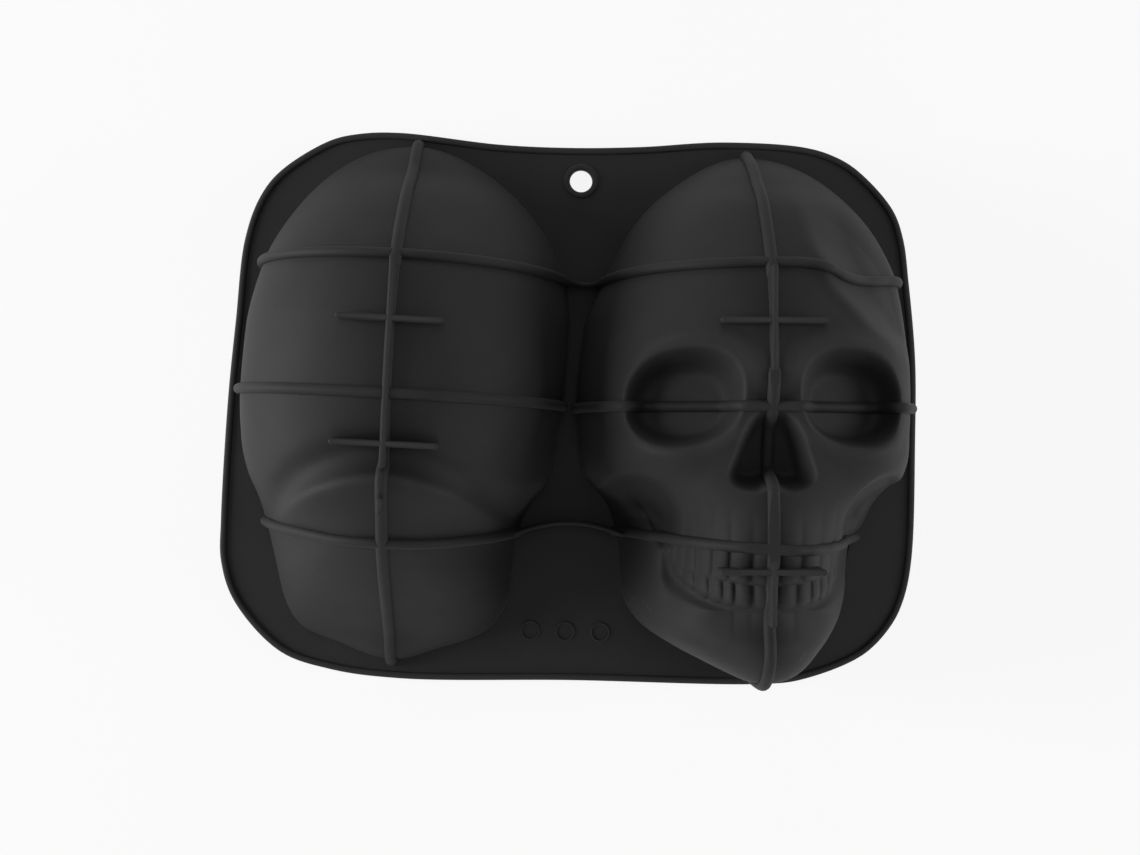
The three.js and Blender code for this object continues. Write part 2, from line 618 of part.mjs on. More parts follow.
// Outline of the sheet, anticlockwise, with a dip in the middle of the upper edge and four round corners.
// Each point belongs to a corner, and is drawn as its distances in from that corner's side and end.
const SHEET_DRAWN = { width: 320.6, length: 253.2 };
const SHEET_MIDDLE = [-1.4, -1]; // from the point midway between the halves
const sheetCorners = [
  { side: 1, end: 1, insets: [[0, 135.6], [1, 98.6], [5.2, 61.4], [8.1, 42.7], [13.6, 28.8], [31.1, 10.7],
    [43.2, 4.3], [57.4, 1], [94.9, 0.2], [132.2, 3.6]] },
  { side: -1, end: 1, insets: [[155.8, 5.1], [123.2, 4.7], [76.7, 0.8], [58.3, 1.9], [44.5, 5.6],
    [21.9, 20.8], [13.1, 33.2], [7, 52.6], [4, 89.7]] },
  { side: -1, end: -1, insets: [[1.5, 126.4], [0, 70.9], [0.6, 52.5], [7.1, 34.2], [28.7, 11.5], [52, 3.8],
    [84.3, 0.3]] },
  { side: 1, end: -1, insets: [[157.6, 1.4], [68.9, 1.8], [50.6, 4.2], [22.1, 16.3], [9.1, 30.3], [3.6, 42.4],
    [0.3, 61.1]] },
];

const sheetWidth = 2 * halfSpacing + SKULL_WIDTH + 2 * SIDE_MARGIN;
const sheetLength = SKULL_LENGTH + 2 * END_MARGIN;
const insetAcross = sheetWidth / SHEET_DRAWN.width;
const insetAlong = sheetLength / SHEET_DRAWN.length;
const sheetPoints = sheetCorners.flatMap(({ side, end, insets }) => insets.map(([fromSide, fromEnd]) => (
  new THREE.Vector3(
    SHEET_MIDDLE[0] + side * (sheetWidth / 2 - fromSide * insetAcross),
    SHEET_MIDDLE[1] + end * (sheetLength / 2 - fromEnd * insetAlong),
    0,
  ))));
const sheetCurve = new THREE.CatmullRomCurve3(sheetPoints, true, "centripetal");
const sheetEdge = sheetCurve.getSpacedPoints(88).slice(0, -1);

const holePlace = [-0.3, 105.3 * along];
const marksPlace = [-1.6, -103.7 * along];

function flangePlate() {
  const shape = new THREE.Shape(sheetEdge);
  const hole = new THREE.Path();
  hole.absarc(...holePlace, HOLE_DIAMETER / 2, 0, 2 * Math.PI, true);
  shape.holes.push(hole);
  const plate = new THREE.ExtrudeGeometry(shape, { depth: SHEET, bevelEnabled: false, curveSegments: 24 });
  return without(solid(plate), backHalf.place(backHalf.mouth), faceHalf.place(faceHalf.mouth));
}

/** Bead round the edge: a low arch over the sheet, flush with its edge. */
function rimBead() {
  const section = [[1, 0], [0.82, 0.8], [0.5, 1], [0.12, 0.8], [0, 0]];
  const rings = sheetEdge.map((point, i) => {
    const ahead = sheetEdge[(i + 1) % sheetEdge.length];
    const behind = sheetEdge.at(i - 1);
    const inward = new THREE.Vector3(behind.y - ahead.y, ahead.x - behind.x, 0).normalize();
    return section.map(([inset, rise]) => point.clone()
      .addScaledVector(inward, inset * RIM_WIDTH)
      .setZ(SHEET + rise * RIM_RISE));
  });
  return solid(skin(rings, true));
}

/** A flat ring on the sheet. */
function ring(x, y, outer, inner, rise) {
  const shape = new THREE.Shape();
  shape.absarc(x, y, outer / 2, 0, 2 * Math.PI);
  const hole = new THREE.Path();
  hole.absarc(x, y, inner / 2, 0, 2 * Math.PI, true);
  shape.holes.push(hole);
  const geometry = new THREE.ExtrudeGeometry(shape, { depth: rise, bevelEnabled: false, curveSegments: 9 });
  return solid(geometry.translate(0, 0, SHEET));
}

function hangCollar() {
  return ring(...holePlace, HOLE_DIAMETER + 2 * COLLAR_WIDTH, HOLE_DIAMETER, COLLAR_RISE);
}

function careMark(place) {
  const inner = MARK_DIAMETER - 2 * MARK_LINE;
  return ring(marksPlace[0] + place * MARK_PITCH, marksPlace[1], MARK_DIAMETER, inner, MARK_RISE);
}

/** Foot of the end of a bead across a half, on the sheet. side is -1 for its left end and 1 for its right. */
function beadEnd(half, v, side) {
  return half.matrixed(new THREE.Vector3(side * edge(half, side, v) * across, v * along, SHEET));
}

/** A thin upright tie between the ends of two beads, bowed along the valley, its top lower in the middle. */
function web(backV, faceV, { bow, middleRise }) {
  const from = beadEnd(backHalf, backV, 1);
  const to = beadEnd(faceHalf, faceV, -1);
  const run = to.clone().sub(from);
  const overlap = WEB_REACH / run.length();
  const steps = 14;
  const rings = Array.from({ length: steps + 1 }, (_, i) => {
    const t = THREE.MathUtils.lerp(-overlap, 1 + overlap, i / steps);
    const swing = Math.min((2 * t - 1) ** 2, 1);
    const middle = from.clone().addScaledVector(run, t);
    middle.y += bow * (1 - swing);
    const top = SHEET + middleRise + (WEB_END_RISE - middleRise) * swing;
    const [near, far] = [middle.y - WEB_THICKNESS / 2, middle.y + WEB_THICKNESS / 2];
    return [[near, SHEET + GAP], [far, SHEET + GAP], [far, top], [near, top]]
      .map(([side, height]) => new THREE.Vector3(middle.x, side, height));
  });
  const body = solid(skin(rings, false));
  const cutters = [backHalf, faceHalf].flatMap((half) => [half.inflated, ...half.beads].map(half.moved));
  return without(body, ...cutters);
}

const sheet = new THREE.Group();
sheet.add(meshOf("flange_plate", flangePlate(), materials.silicone));
sheet.add(meshOf("rim_bead", rimBead(), materials.silicone));
sheet.add(meshOf("hang_collar", hangCollar(), materials.silicone));
[["left", -1], ["middle", 0], ["right", 1]].forEach(([label, place]) => {
  sheet.add(meshOf(`care_mark_${label}`, careMark(place), materials.silicone));
});
const crownWeb = web(backCrown, faceCrown(-faceHalf.left(backCrown)), CROWN_WEB);
const jawWeb = web(backJaw, faceJaw(-faceHalf.left(backJaw)), JAW_WEB);
sheet.add(meshOf("crown_web", crownWeb, materials.silicone));
sheet.add(meshOf("jaw_web", jawWeb, materials.silicone));

// The origin is under the middle of the sheet
const bounds = new THREE.Box3().setFromPoints(sheetEdge);
const mould = new THREE.Group();
mould.position.set(-(bounds.min.x + bounds.max.x) / 2, -(bounds.min.y + bounds.max.y) / 2, 0);
mould.add(sheet, back, front);

const part = new THREE.Group();
part.add(mould);

export default part;
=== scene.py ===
"""A black silicone mould for a skull cake, lying on a pale floor and seen from above.

Each half of the skull is a surface over its own plan: u runs across the half to the right and v along it to
the crown, and the surface's rise is its height over the sheet that joins the halves. Everything here is in
millimetres until a mesh is made, in metres.
"""

import math

import bpy
import numpy as np
from mathutils import Matrix, Vector

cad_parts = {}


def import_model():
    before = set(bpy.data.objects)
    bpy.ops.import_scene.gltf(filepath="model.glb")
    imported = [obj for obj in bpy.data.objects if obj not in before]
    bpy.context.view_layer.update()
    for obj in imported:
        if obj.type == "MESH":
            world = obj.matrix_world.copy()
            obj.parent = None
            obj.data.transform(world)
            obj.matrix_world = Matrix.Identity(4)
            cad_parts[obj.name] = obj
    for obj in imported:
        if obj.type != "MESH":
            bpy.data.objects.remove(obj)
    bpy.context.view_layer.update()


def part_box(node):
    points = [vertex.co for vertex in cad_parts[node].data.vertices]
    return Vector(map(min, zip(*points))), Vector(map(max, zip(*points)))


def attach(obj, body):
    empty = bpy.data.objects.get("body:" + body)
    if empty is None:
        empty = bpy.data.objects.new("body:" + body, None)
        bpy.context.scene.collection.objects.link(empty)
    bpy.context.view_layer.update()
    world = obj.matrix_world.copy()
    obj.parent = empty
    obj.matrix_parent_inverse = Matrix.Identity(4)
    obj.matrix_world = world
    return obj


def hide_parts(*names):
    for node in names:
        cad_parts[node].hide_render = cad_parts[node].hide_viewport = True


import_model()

MM = 0.001

# Sizes of the moulding
SHEET = 3.0
WALL = 2.8
HALF_LENGTH = 118.4
HALF_WIDTH = 73.5
HALF_SPACING = 78.6
SPLAY = math.radians(1.33)
FOOT_HEIGHT = 86.0
TOP_STEP = 0.05
BEAD_RADIUS = 2.3
SPINE_RADIUS = 2.6
BEAD_LIFT = 0.6
BLADE_WIDTH = 2.6
CROSSBAR_LENGTH = 43.7
RIM_WIDTH = 3.3
RIM_RISE = 1.4
COLLAR_WIDTH = 2.9
COLLAR_RISE = 1.2
WEB_THICKNESS = 1.8
MARK_DIAMETER = 9.0
MARK_LINE = 0.8
MARK_RISE = 0.6
MARK_PITCH = 16.2

# Places on the sheet, measured from the point midway between the halves
HOLE_PLACE = (-0.3, 105.3)
HOLE_RADIUS = 5.2
MARKS_PLACE = (-1.6, -103.7)


def middle_of(node):
    """The middle of a CAD node's plan, in millimetres."""
    low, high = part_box(node)
    return np.array([(low.x + high.x) / 2, (low.y + high.y) / 2]) / MM


ORIGIN = middle_of("hang_collar") - np.array(HOLE_PLACE)
HOLE_CENTRE = np.array(HOLE_PLACE) + ORIGIN


# Curves and steps

def curve(points):
    """A smooth curve through (place, value) points that never overshoots them."""
    x, y = np.array(sorted(points), float).T
    spans = np.diff(x)
    slopes = np.diff(y) / spans
    tangents = np.concatenate([slopes[:1], np.zeros(len(x) - 2), slopes[-1:]])
    for i in range(1, len(x) - 1):
        before, after = slopes[i - 1], slopes[i]
        if before * after > 0:
            tangents[i] = 2 * before * after / (before + after)

    def value(place):
        place = np.clip(place, x[0], x[-1])
        i = np.clip(np.searchsorted(x, place, side="right") - 1, 0, len(x) - 2)
        s = (place - x[i]) / spans[i]
        left = y[i] * (1 + 2 * s) * (1 - s) ** 2 + tangents[i] * spans[i] * s * (1 - s) ** 2
        return left + y[i + 1] * s * s * (3 - 2 * s) + tangents[i + 1] * spans[i] * s * s * (s - 1)

    return value


def end_angle(v):
    """The angle whose sine is v over the half length: it resolves the two steep ends."""
    return np.arcsin(np.clip(v / HALF_LENGTH, -1, 1))


def along_skull(points):
    """A smooth curve over v through (v, value) points, also where it stands upright at an end."""
    over_angle = curve([(float(end_angle(v)), value) for v, value in points])
    return lambda v: over_angle(end_angle(v))


def step(x, low, high):
    """A smooth rise from 0 at low to 1 at high."""
    t = np.clip((x - low) / (high - low), 0, 1)
    return t * t * (3 - 2 * t)


def soft_step(x, low, high):
    """A step with rounder shoulders."""
    t = np.clip((x - low) / (high - low), 0, 1)
    return t ** 3 * (10 - 15 * t + 6 * t * t)


def bowl(t, tail):
    """A wall that is steepest near its edge at t = 0 and runs out softly to 1 at t = 1."""
    t = np.clip(t, 0, 1)
    return 1 - (1 - t) ** tail * (1 + tail * t)


def bump(distance):
    """A soft round bump: 1 at distance 0, and 0 from distance 1 on."""
    return np.where(distance < 1, (1 - np.clip(distance, 0, 1) ** 2) ** 2, 0)


def bell(x, width):
    """A soft ridge: 1 at 0, and under 0.4 from the width on."""
    return np.exp(-((x / width) ** 2))


def least(a, b, blend):
    """The smaller of two distances, rounded off where they meet."""
    return (a + b - np.sqrt((a - b) ** 2 + blend ** 2)) / 2


# The surface of the two halves

# Rings round a point in which the outer surface is looked up: (share of the wall, places)
CAVITY_PROBES = ((0.5, 8), (0.94, 16))


class Half:
    """One half of the skull, by curves along it and its own relief.

    left and right are its edge on the sheet and spine is the rise of its midline. power and lift shape it
    across, squarer with more power and less lift, and fuller takes off lift on the side away from the other
    half. sculpt gives the plain dome its relief.
    """

    def __init__(self, name, side, left, right, spine, power, lift, fuller, sculpt):
        self.name = name
        self.side = side
        self.left, self.right = along_skull(left), along_skull(right)
        self.spine, self.power, self.lift = along_skull(spine), along_skull(power), along_skull(lift)
        self.fuller = along_skull(fuller)
        self.sculpt = sculpt

    def edge(self, u, v):
        """Distance of the edge from the midline, on the side of u."""
        return np.where(u < 0, self.left(v), self.right(v))

    def height(self, u, v):
        """Height of the outer surface over the floor."""
        q = np.clip(np.abs(u) / np.maximum(self.edge(u, v), 1e-6), 0, 1)
        lift = self.lift(v) * (1 - np.where(self.side * u > 0, self.fuller(v), 0))
        dome = self.spine(v) * (1 - q ** self.power(v)) ** lift
        return SHEET + np.where(q < 1, np.maximum(self.sculpt(u, v, dome), 0), 0)

    def cavity(self, u, v):
        """Height of the cavity's surface: the outer one set in by the wall, at right angles to it."""
        height = self.height(u, v) - WALL
        for reach, directions in CAVITY_PROBES:
            drop = WALL * math.sqrt(1 - reach ** 2)
            for angle in np.linspace(0, 2 * math.pi, directions, endpoint=False):
                du, dv = reach * WALL * math.cos(angle), reach * WALL * math.sin(angle)
                height = np.minimum(height, self.height(u + du, v + dv) - drop)
        return height

    def place(self, points):
        """Points of the half's plan in the part's frame."""
        turn = self.side * SPLAY
        x, y, z = np.moveaxis(np.asarray(points, float), -1, 0)
        return np.stack([
            ORIGIN[0] + self.side * HALF_SPACING + x * math.cos(turn) - y * math.sin(turn),
            ORIGIN[1] + x * math.sin(turn) + y * math.cos(turn),
            z,
        ], -1)


NAPE_PLACE = -33.5
NAPE_ARCH = 0.0085
NAPE_HALF_LENGTH = 61
NAPE_END_FADE = 22
NAPE_RISE = 4.6
NAPE_WIDTH_ABOVE = 4.2
NAPE_WIDTH_BELOW = 11
NAPE_VALLEY_DEPTH = 3.6
NAPE_VALLEY_DISTANCE = 12
NAPE_VALLEY_WIDTH = 7


def nape(u, v, rise):
    """Back of the skull: an arched ridge across the nape with a shallow valley above it."""
    past = v - (NAPE_PLACE - NAPE_ARCH * u ** 2)
    fade = step(NAPE_HALF_LENGTH - np.abs(u), 0, NAPE_END_FADE)
    ridge = NAPE_RISE * bell(past, np.where(past > 0, NAPE_WIDTH_ABOVE, NAPE_WIDTH_BELOW))
    valley = NAPE_VALLEY_DEPTH * bell(past - NAPE_VALLEY_DISTANCE, NAPE_VALLEY_WIDTH)
    return rise + fade * (ridge - valley)


# A socket's middle across the face and its reach to the sides. The right one is a little narrower.
LEFT_SOCKET = (34.8, 22.8)
RIGHT_SOCKET = (33.6, 21.6)
SOCKET_PLACE = 5.2
SOCKET_REACH_ALONG = 19.6
SOCKET_TILT = 0.1
SOCKET_SQUARENESS = 2.3
SOCKET_FLOOR = 56.5
SOCKET_FLOOR_MIDDLE = (34, 5)
SOCKET_FLOOR_SLOPE = (0.4, 0.06)
SOCKET_LIP = 1.08
SOCKET_LIP_OUTER = 0.04
SOCKET_STEEPNESS = 5
SOCKET_CORE = 0.6
SOCKET_WALL = 0.69
SOCKET_WALL_OUTER = 0.25
SOCKET_WALL_UPPER = 0.3


def socket_distance(u, v, side):
    """Distance over the plan from a socket's middle, 1 on its rim."""
    middle, reach = LEFT_SOCKET if side < 0 else RIGHT_SOCKET
    du = side * u - middle
    dv = v - SOCKET_PLACE + SOCKET_TILT * du
    across, along = np.abs(du / reach), np.abs(dv / SOCKET_REACH_ALONG)
    return (across ** SOCKET_SQUARENESS + along ** SOCKET_SQUARENESS) ** (1 / SOCKET_SQUARENESS)


def socket(u, v, rise, side):
    """A bowl pressed into the face. Its wall runs out furthest on the outer and upper sides in both."""
    rim = socket_distance(u, v, side)
    spread = np.maximum(rim, SOCKET_CORE)
    middle, reach = LEFT_SOCKET
    outer = (side * u - middle) / reach / spread
    upper = (v - SOCKET_PLACE) / SOCKET_REACH_ALONG / spread
    wall = SOCKET_WALL + SOCKET_WALL_OUTER * outer + SOCKET_WALL_UPPER * upper
    across, along = side * u - SOCKET_FLOOR_MIDDLE[0], v - SOCKET_FLOOR_MIDDLE[1]
    floor = SOCKET_FLOOR - SOCKET_FLOOR_SLOPE[0] * across - SOCKET_FLOOR_SLOPE[1] * along
    inward = (SOCKET_LIP + SOCKET_LIP_OUTER * outer - rim) / wall
    return rise + (np.minimum(floor, rise) - rise) * bowl(inward, SOCKET_STEEPNESS + outer)


NOSE_HALF_WIDTH = curve([(-32, 15), (-28, 16), (-20, 13.4), (-8, 8.2), (-3, 5), (0, 1)])
NOSE_FLOOR = curve([(-34, 60.5), (-8, 67.5), (-3.5, 71.5), (0, 76)])
NOSE_SILL = -34
NOSE_SILL_BOW = 0.006
NOSE_SPINE = 3
NOSE_SPINE_WIDTH = 4.5
NOSE_MARGIN = 2.4
NOSE_ROUNDING = 4
NOSE_LIP = 1.2
NOSE_WALL = 8
NOSE_STEEPNESS = 3
NOSE_TOP = (-1, 5)


def nose(u, v, rise):
    """The nose opening: a pit with soft walls that gets deeper down to its two rounded lobes."""
    sill = NOSE_SILL + NOSE_SPINE * bell(u, NOSE_SPINE_WIDTH) + NOSE_SILL_BOW * u ** 2
    inside = least(NOSE_HALF_WIDTH(v) + NOSE_MARGIN - np.abs(u), v - sill, NOSE_ROUNDING)
    wall = bowl((inside + NOSE_LIP) / NOSE_WALL, NOSE_STEEPNESS)
    return rise + (np.minimum(NOSE_FLOOR(v), rise) - rise) * wall * step(-v, *NOSE_TOP)


TEMPLE_CREST = curve([(20, 60), (27, 52), (33.5, 42.7), (42.4, 33.8), (50, 26.7), (62, 22.5), (71, 18.6),
                      (85, 17.2), (100, 16)])
TEMPLE_CREST_RISE = 1.2
TEMPLE_CREST_WIDTH = 5
TEMPLE_CREST_SHIFT = 1
TEMPLE_DEPTH = 11
TEMPLE_FLANK = (-3, 20)
TEMPLE_START = (12, 40)
TEMPLE_END = 108
TEMPLE_END_FADE = 48
TEMPLE_SIDE = 84
TEMPLE_SIDE_FADE = 30
TEMPLE_FULL_RISE = 50


def temple(u, v):
    """Hollow behind the crest of the outer temple."""
    fade = step(v, *TEMPLE_START) * step(TEMPLE_END - v, 0, TEMPLE_END_FADE)
    past = u - TEMPLE_CREST(v)
    hollow = TEMPLE_DEPTH * step(past, *TEMPLE_FLANK) * step(TEMPLE_SIDE - u, 0, TEMPLE_SIDE_FADE)
    return fade * (hollow - TEMPLE_CREST_RISE * bell(past + TEMPLE_CREST_SHIFT, TEMPLE_CREST_WIDTH))


# Distances and widths are shares of the way from a socket's middle to its rim
BROW_DISTANCE = 1.28
BROW_WIDTH = 0.22
ORBIT_DISTANCE = 1.2
ORBIT_WIDTH = 0.16

BROW_RISE = 1.8
BROW_START = (4, 18)
BROW_SIDE = 62
ORBIT_RISE = 2
ORBIT_SIDE = 66
ORBIT_INNER_END = (8, 16)
BROW_SIDE_FADE = 12


def brow(u, v, side):
    """Ridge over a socket, and a softer one under it."""
    rim = socket_distance(u, v, side)
    a = np.abs(u)
    upper = step(v, *BROW_START)
    ridge = BROW_RISE * upper * bell(rim - BROW_DISTANCE, BROW_WIDTH)
    ridge = ridge * step(BROW_SIDE - a, 0, BROW_SIDE_FADE)
    orbit = ORBIT_RISE * (1 - upper) * bell(rim - ORBIT_DISTANCE, ORBIT_WIDTH)
    return ridge + orbit * step(ORBIT_SIDE - a, 0, BROW_SIDE_FADE) * step(a, *ORBIT_INNER_END)


# Middles (across, along) and reaches (across, along) of the cheekbone and of the hollow under it
CHEEKBONE_MIDDLE = (50, -20)
CHEEKBONE_REACH = (26, 15)
CHEEKBONE_TILT = 0.05
CHEEKBONE_RISE = 5
HOLLOW_MIDDLE = (54, -48)
HOLLOW_REACH = (20, 21.6)
HOLLOW_EDGE_DEPTH = 11
HOLLOW_FLOOR_DEPTH = 7
HOLLOW_WALL = (-0.03, 0.2)
HOLLOW_FOOT = (-62, -47)
HOLLOW_FULL_RISE = 36


def cheekbone(s, v):
    """Soft swelling beside and under a socket, s to the side."""
    across, along = s - CHEEKBONE_MIDDLE[0], v - CHEEKBONE_MIDDLE[1]
    distance = np.hypot(across / CHEEKBONE_REACH[0], (along - CHEEKBONE_TILT * across) / CHEEKBONE_REACH[1])
    return CHEEKBONE_RISE * bump(distance)


def cheek_hollow(s, v):
    """Hollow under the cheekbone, which fades out at the jaw bead."""
    across, along = (s - HOLLOW_MIDDLE[0]) / HOLLOW_REACH[0], (v - HOLLOW_MIDDLE[1]) / HOLLOW_REACH[1]
    past_edge = 1 - np.hypot(across, along)
    depth = HOLLOW_EDGE_DEPTH * soft_step(past_edge, *HOLLOW_WALL)
    depth = depth + HOLLOW_FLOOR_DEPTH * bump(1 - np.clip(past_edge, 0, 1))
    return depth * step(v, *HOLLOW_FOOT)


# Place to the side and rise of the jaw's branch on each side
LEFT_BRANCH = (44, 10.5)
RIGHT_BRANCH = (46.5, 9)
BRANCH_BEND = -59.8
BRANCH_LEAN_ABOVE = 0.393
BRANCH_LEAN_BELOW = 0.02
BRANCH_WIDTH = 4.8
BRANCH_TOP = (36, 47)
BRANCH_FOOT = (-92, -62)
BRANCH_FULL_RISE = 30


def jaw_branch(s, v, side):
    """Ridge of the jaw beside the corner of the mouth, which leans outward above its bend."""
    middle, height = LEFT_BRANCH if side < 0 else RIGHT_BRANCH
    lean = np.where(v > BRANCH_BEND, BRANCH_LEAN_ABOVE, BRANCH_LEAN_BELOW)
    line = s - middle - lean * (v - BRANCH_BEND)
    return height * bell(line, BRANCH_WIDTH) * step(-v, *BRANCH_TOP) * step(v, *BRANCH_FOOT)


def cheek_side(u, v, rise, side):
    """Brow over a socket, cheekbone under it, the hollow below and the branch of the jaw."""
    s = side * u
    raised = brow(u, v, side) + cheekbone(s, v)
    lowered = cheek_hollow(s, v) * np.clip(rise / HOLLOW_FULL_RISE, 0, 1)
    return raised - lowered + jaw_branch(s, v, side) * np.clip(rise / BRANCH_FULL_RISE, 0, 1)


UPPER_GAPS = [-41, -38.6, -36, -33, -28.9, -23, -16.6, -8.1, 2, 12, 21.4, 29, 35.4, 40.5]
LOWER_GAPS = [-41, -37.5, -33.7, -29.3, -24.1, -18.8, -14.5, -7.2, 1.7, 10.6, 17.5, 22.6, 27.4, 32, 36.4,
              40.5]
MOUTH_CORNER = curve([(-84, 17), (-82.6, 21), (-79.7, 28), (-74.8, 34.5), (-68.2, 39.6), (-58.7, 42.4),
                      (-50, 43.5)])
MOUTH_CORNER_FADE = 4
BITE_PLACE = -72
BITE_BOW = 0.004
BITE_DEPTH = 1.1
BITE_UPPER_EDGE = (-0.4, 0.5)
BITE_LOWER_EDGE = (-5, 0)

# A tooth's section across, the same in both rows
GAP_WIDTH = 0.14
TOOTH_ROUNDNESS = 2.8
FULL_TOOTH_WIDTH = 4.4
CORNER_POWER = 2.4

# The crowns and roots of each row, by their distance from the bite line
UPPER_TOOTH_RELIEF = 1.6
UPPER_GAP_DEPTH = 0.1
UPPER_TOOTH_LENGTH = 17
UPPER_NECK_FADE = 6
UPPER_CORNER_DROP = 1.8
UPPER_EDGE_ROUNDING = 3
UPPER_ROOT_RELIEF = 0.45
UPPER_ROOTS_START = (10, 15)
UPPER_ROOTS_END = 34
UPPER_ROOTS_FADE = 16
LOWER_TOOTH_RELIEF = 1.5
LOWER_GAP_DEPTH = 0.2
LOWER_TOOTH_LENGTH = 10.6
LOWER_CORNER_DROP = 1.6
LOWER_EDGE_ROUNDING = 1.6
LOWER_NECK_ROUNDING = 2.8
LOWER_ROOT_RELIEF = 0.3
LOWER_ROOTS_START = (11, 13)
LOWER_ROOTS_END = 26
LOWER_ROOTS_FADE = 12

# The groove of the gum follows the lower necks and the corners of the mouth
GUM_DEPTH = 4
GUM_LINE = 11.5
GUM_SHIFT = 0.4
GUM_ROUNDING = 5
GUM_INNER_WIDTH = 2.2
GUM_OUTER_WIDTH = 6.6
GUM_TOP = (48, 60)
SHALLOW_LINE = 30
SHALLOW_SPAN = (2, 16)
SHALLOW_RISE = 2.7
SHALLOW_NARROWING = 3.2


def bite_line(u):
    """Place along the skull of the bite line."""
    return BITE_PLACE + BITE_BOW * u ** 2


def tooth_row(u, gaps):
    """Place across its tooth, -1 to 1, and fullness, for each u of a row with these gaps."""
    gaps = np.array(gaps, float)
    k = np.clip(np.searchsorted(gaps, u, side="right") - 1, 0, len(gaps) - 2)
    width = gaps[k + 1] - gaps[k]
    s = np.clip(2 * (u - gaps[k]) / width - 1, -1, 1)
    from_gap = np.sqrt((1 - np.abs(s)) ** 2 + GAP_WIDTH ** 2) - GAP_WIDTH
    return s, (1 - (1 - from_gap) ** TOOTH_ROUNDNESS) * np.minimum(width / FULL_TOOTH_WIDTH, 1)


def rounded(distance, radius):
    """A quarter round that rises from an edge: 0 at it, and 1 from the radius inward."""
    return np.sqrt(1 - (1 - np.clip(distance / radius, 0, 1)) ** 2)


def upper_teeth(u, above):
    """Relief of the upper teeth and of their roots, at a distance above the bite line."""
    s, full = tooth_row(u, UPPER_GAPS)
    edge = above - UPPER_CORNER_DROP * np.abs(s) ** CORNER_POWER
    crown = rounded(edge, UPPER_EDGE_ROUNDING) * step(UPPER_TOOTH_LENGTH - above, 0, UPPER_NECK_FADE)
    roots = UPPER_ROOT_RELIEF * (full - 0.5) * step(above, *UPPER_ROOTS_START)
    roots = roots * step(UPPER_ROOTS_END - above, 0, UPPER_ROOTS_FADE)
    return (UPPER_TOOTH_RELIEF * full - UPPER_GAP_DEPTH) * crown + roots


def lower_teeth(u, above):
    """Relief of the lower teeth, with the groove of the bite over them."""
    s, full = tooth_row(u, LOWER_GAPS)
    neck = above + LOWER_TOOTH_LENGTH - LOWER_CORNER_DROP * np.abs(s) ** CORNER_POWER
    crown = rounded(-above, LOWER_EDGE_ROUNDING) * rounded(neck, LOWER_NECK_ROUNDING)
    bite = BITE_DEPTH * step(-above, *BITE_UPPER_EDGE) * step(above, *BITE_LOWER_EDGE)
    return (LOWER_TOOTH_RELIEF * full - LOWER_GAP_DEPTH) * crown - bite


def lower_roots(u, above):
    """Relief of the roots of the lower teeth."""
    _, full = tooth_row(u, LOWER_GAPS)
    roots = LOWER_ROOT_RELIEF * (full - 0.5) * step(-above, *LOWER_ROOTS_START)
    return roots * step(LOWER_ROOTS_END + above, 0, LOWER_ROOTS_FADE)


def gum(corner, above, v):
    """Depth of the groove round the teeth, shallower where it runs up beside the roots."""
    past_teeth = least(corner, above + GUM_LINE, GUM_ROUNDING) - GUM_SHIFT
    shallow = step(least(corner, above + SHALLOW_LINE, GUM_ROUNDING), *SHALLOW_SPAN)
    width = np.where(past_teeth > 0, GUM_INNER_WIDTH, GUM_OUTER_WIDTH - SHALLOW_NARROWING * shallow)
    return (GUM_DEPTH - SHALLOW_RISE * shallow) * bell(past_teeth, width) * step(-v, *GUM_TOP)


def teeth(u, v):
    """Relief of the two rows of teeth, with the gum round them and the roots beside them."""
    above = v - bite_line(u)
    corner = MOUTH_CORNER(v) - np.abs(u)
    relief = upper_teeth(u, above) + lower_teeth(u, above) + lower_roots(u, above)
    return step(corner, 0, MOUTH_CORNER_FADE) * relief - gum(corner, above, v)


NOSE_ROOT_PLACE = 1
NOSE_ROOT_LENGTH = 6
NOSE_ROOT_DEPTH = 2
FOREHEAD_KNOB_PLACE = 22
FOREHEAD_KNOB_LENGTH = 11
FOREHEAD_KNOB_RISE = 1.6
MIDLINE_WIDTH = 9
CHIN_GROOVE_PLACE = -90
CHIN_GROOVE_WIDTH = 6
CHIN_GROOVE_HALF_LENGTH = 34
CHIN_GROOVE_FADE = 16
CHIN_GROOVE_DEPTH = 2.5
CHIN_PLACE = -103
CHIN_REACH = (20, 11)
CHIN_RISE = 2


def chin(u, v, rise):
    """The chin: a knob, with a groove above it."""
    groove = CHIN_GROOVE_DEPTH * bell(v - CHIN_GROOVE_PLACE, CHIN_GROOVE_WIDTH)
    groove = groove * step(CHIN_GROOVE_HALF_LENGTH - np.abs(u), 0, CHIN_GROOVE_FADE)
    distance = np.hypot(u / CHIN_REACH[0], (v - CHIN_PLACE) / CHIN_REACH[1])
    return rise - groove + CHIN_RISE * bump(distance)


def face(u, v, base):
    """Face: temple, brows, cheekbones, sockets, nose, teeth and chin."""
    rise = base - temple(u, v) * np.minimum(base / TEMPLE_FULL_RISE, 1)
    rise = rise + cheek_side(u, v, rise, -1) + cheek_side(u, v, rise, 1)
    across = bell(u, MIDLINE_WIDTH)
    rise = rise - NOSE_ROOT_DEPTH * across * bell(v - NOSE_ROOT_PLACE, NOSE_ROOT_LENGTH)
    rise = rise + FOREHEAD_KNOB_RISE * across * bell(v - FOREHEAD_KNOB_PLACE, FOREHEAD_KNOB_LENGTH)
    rise = socket(u, v, socket(u, v, rise, -1), 1)
    rise = nose(u, v, rise)
    return chin(u, v, rise + teeth(u, v))


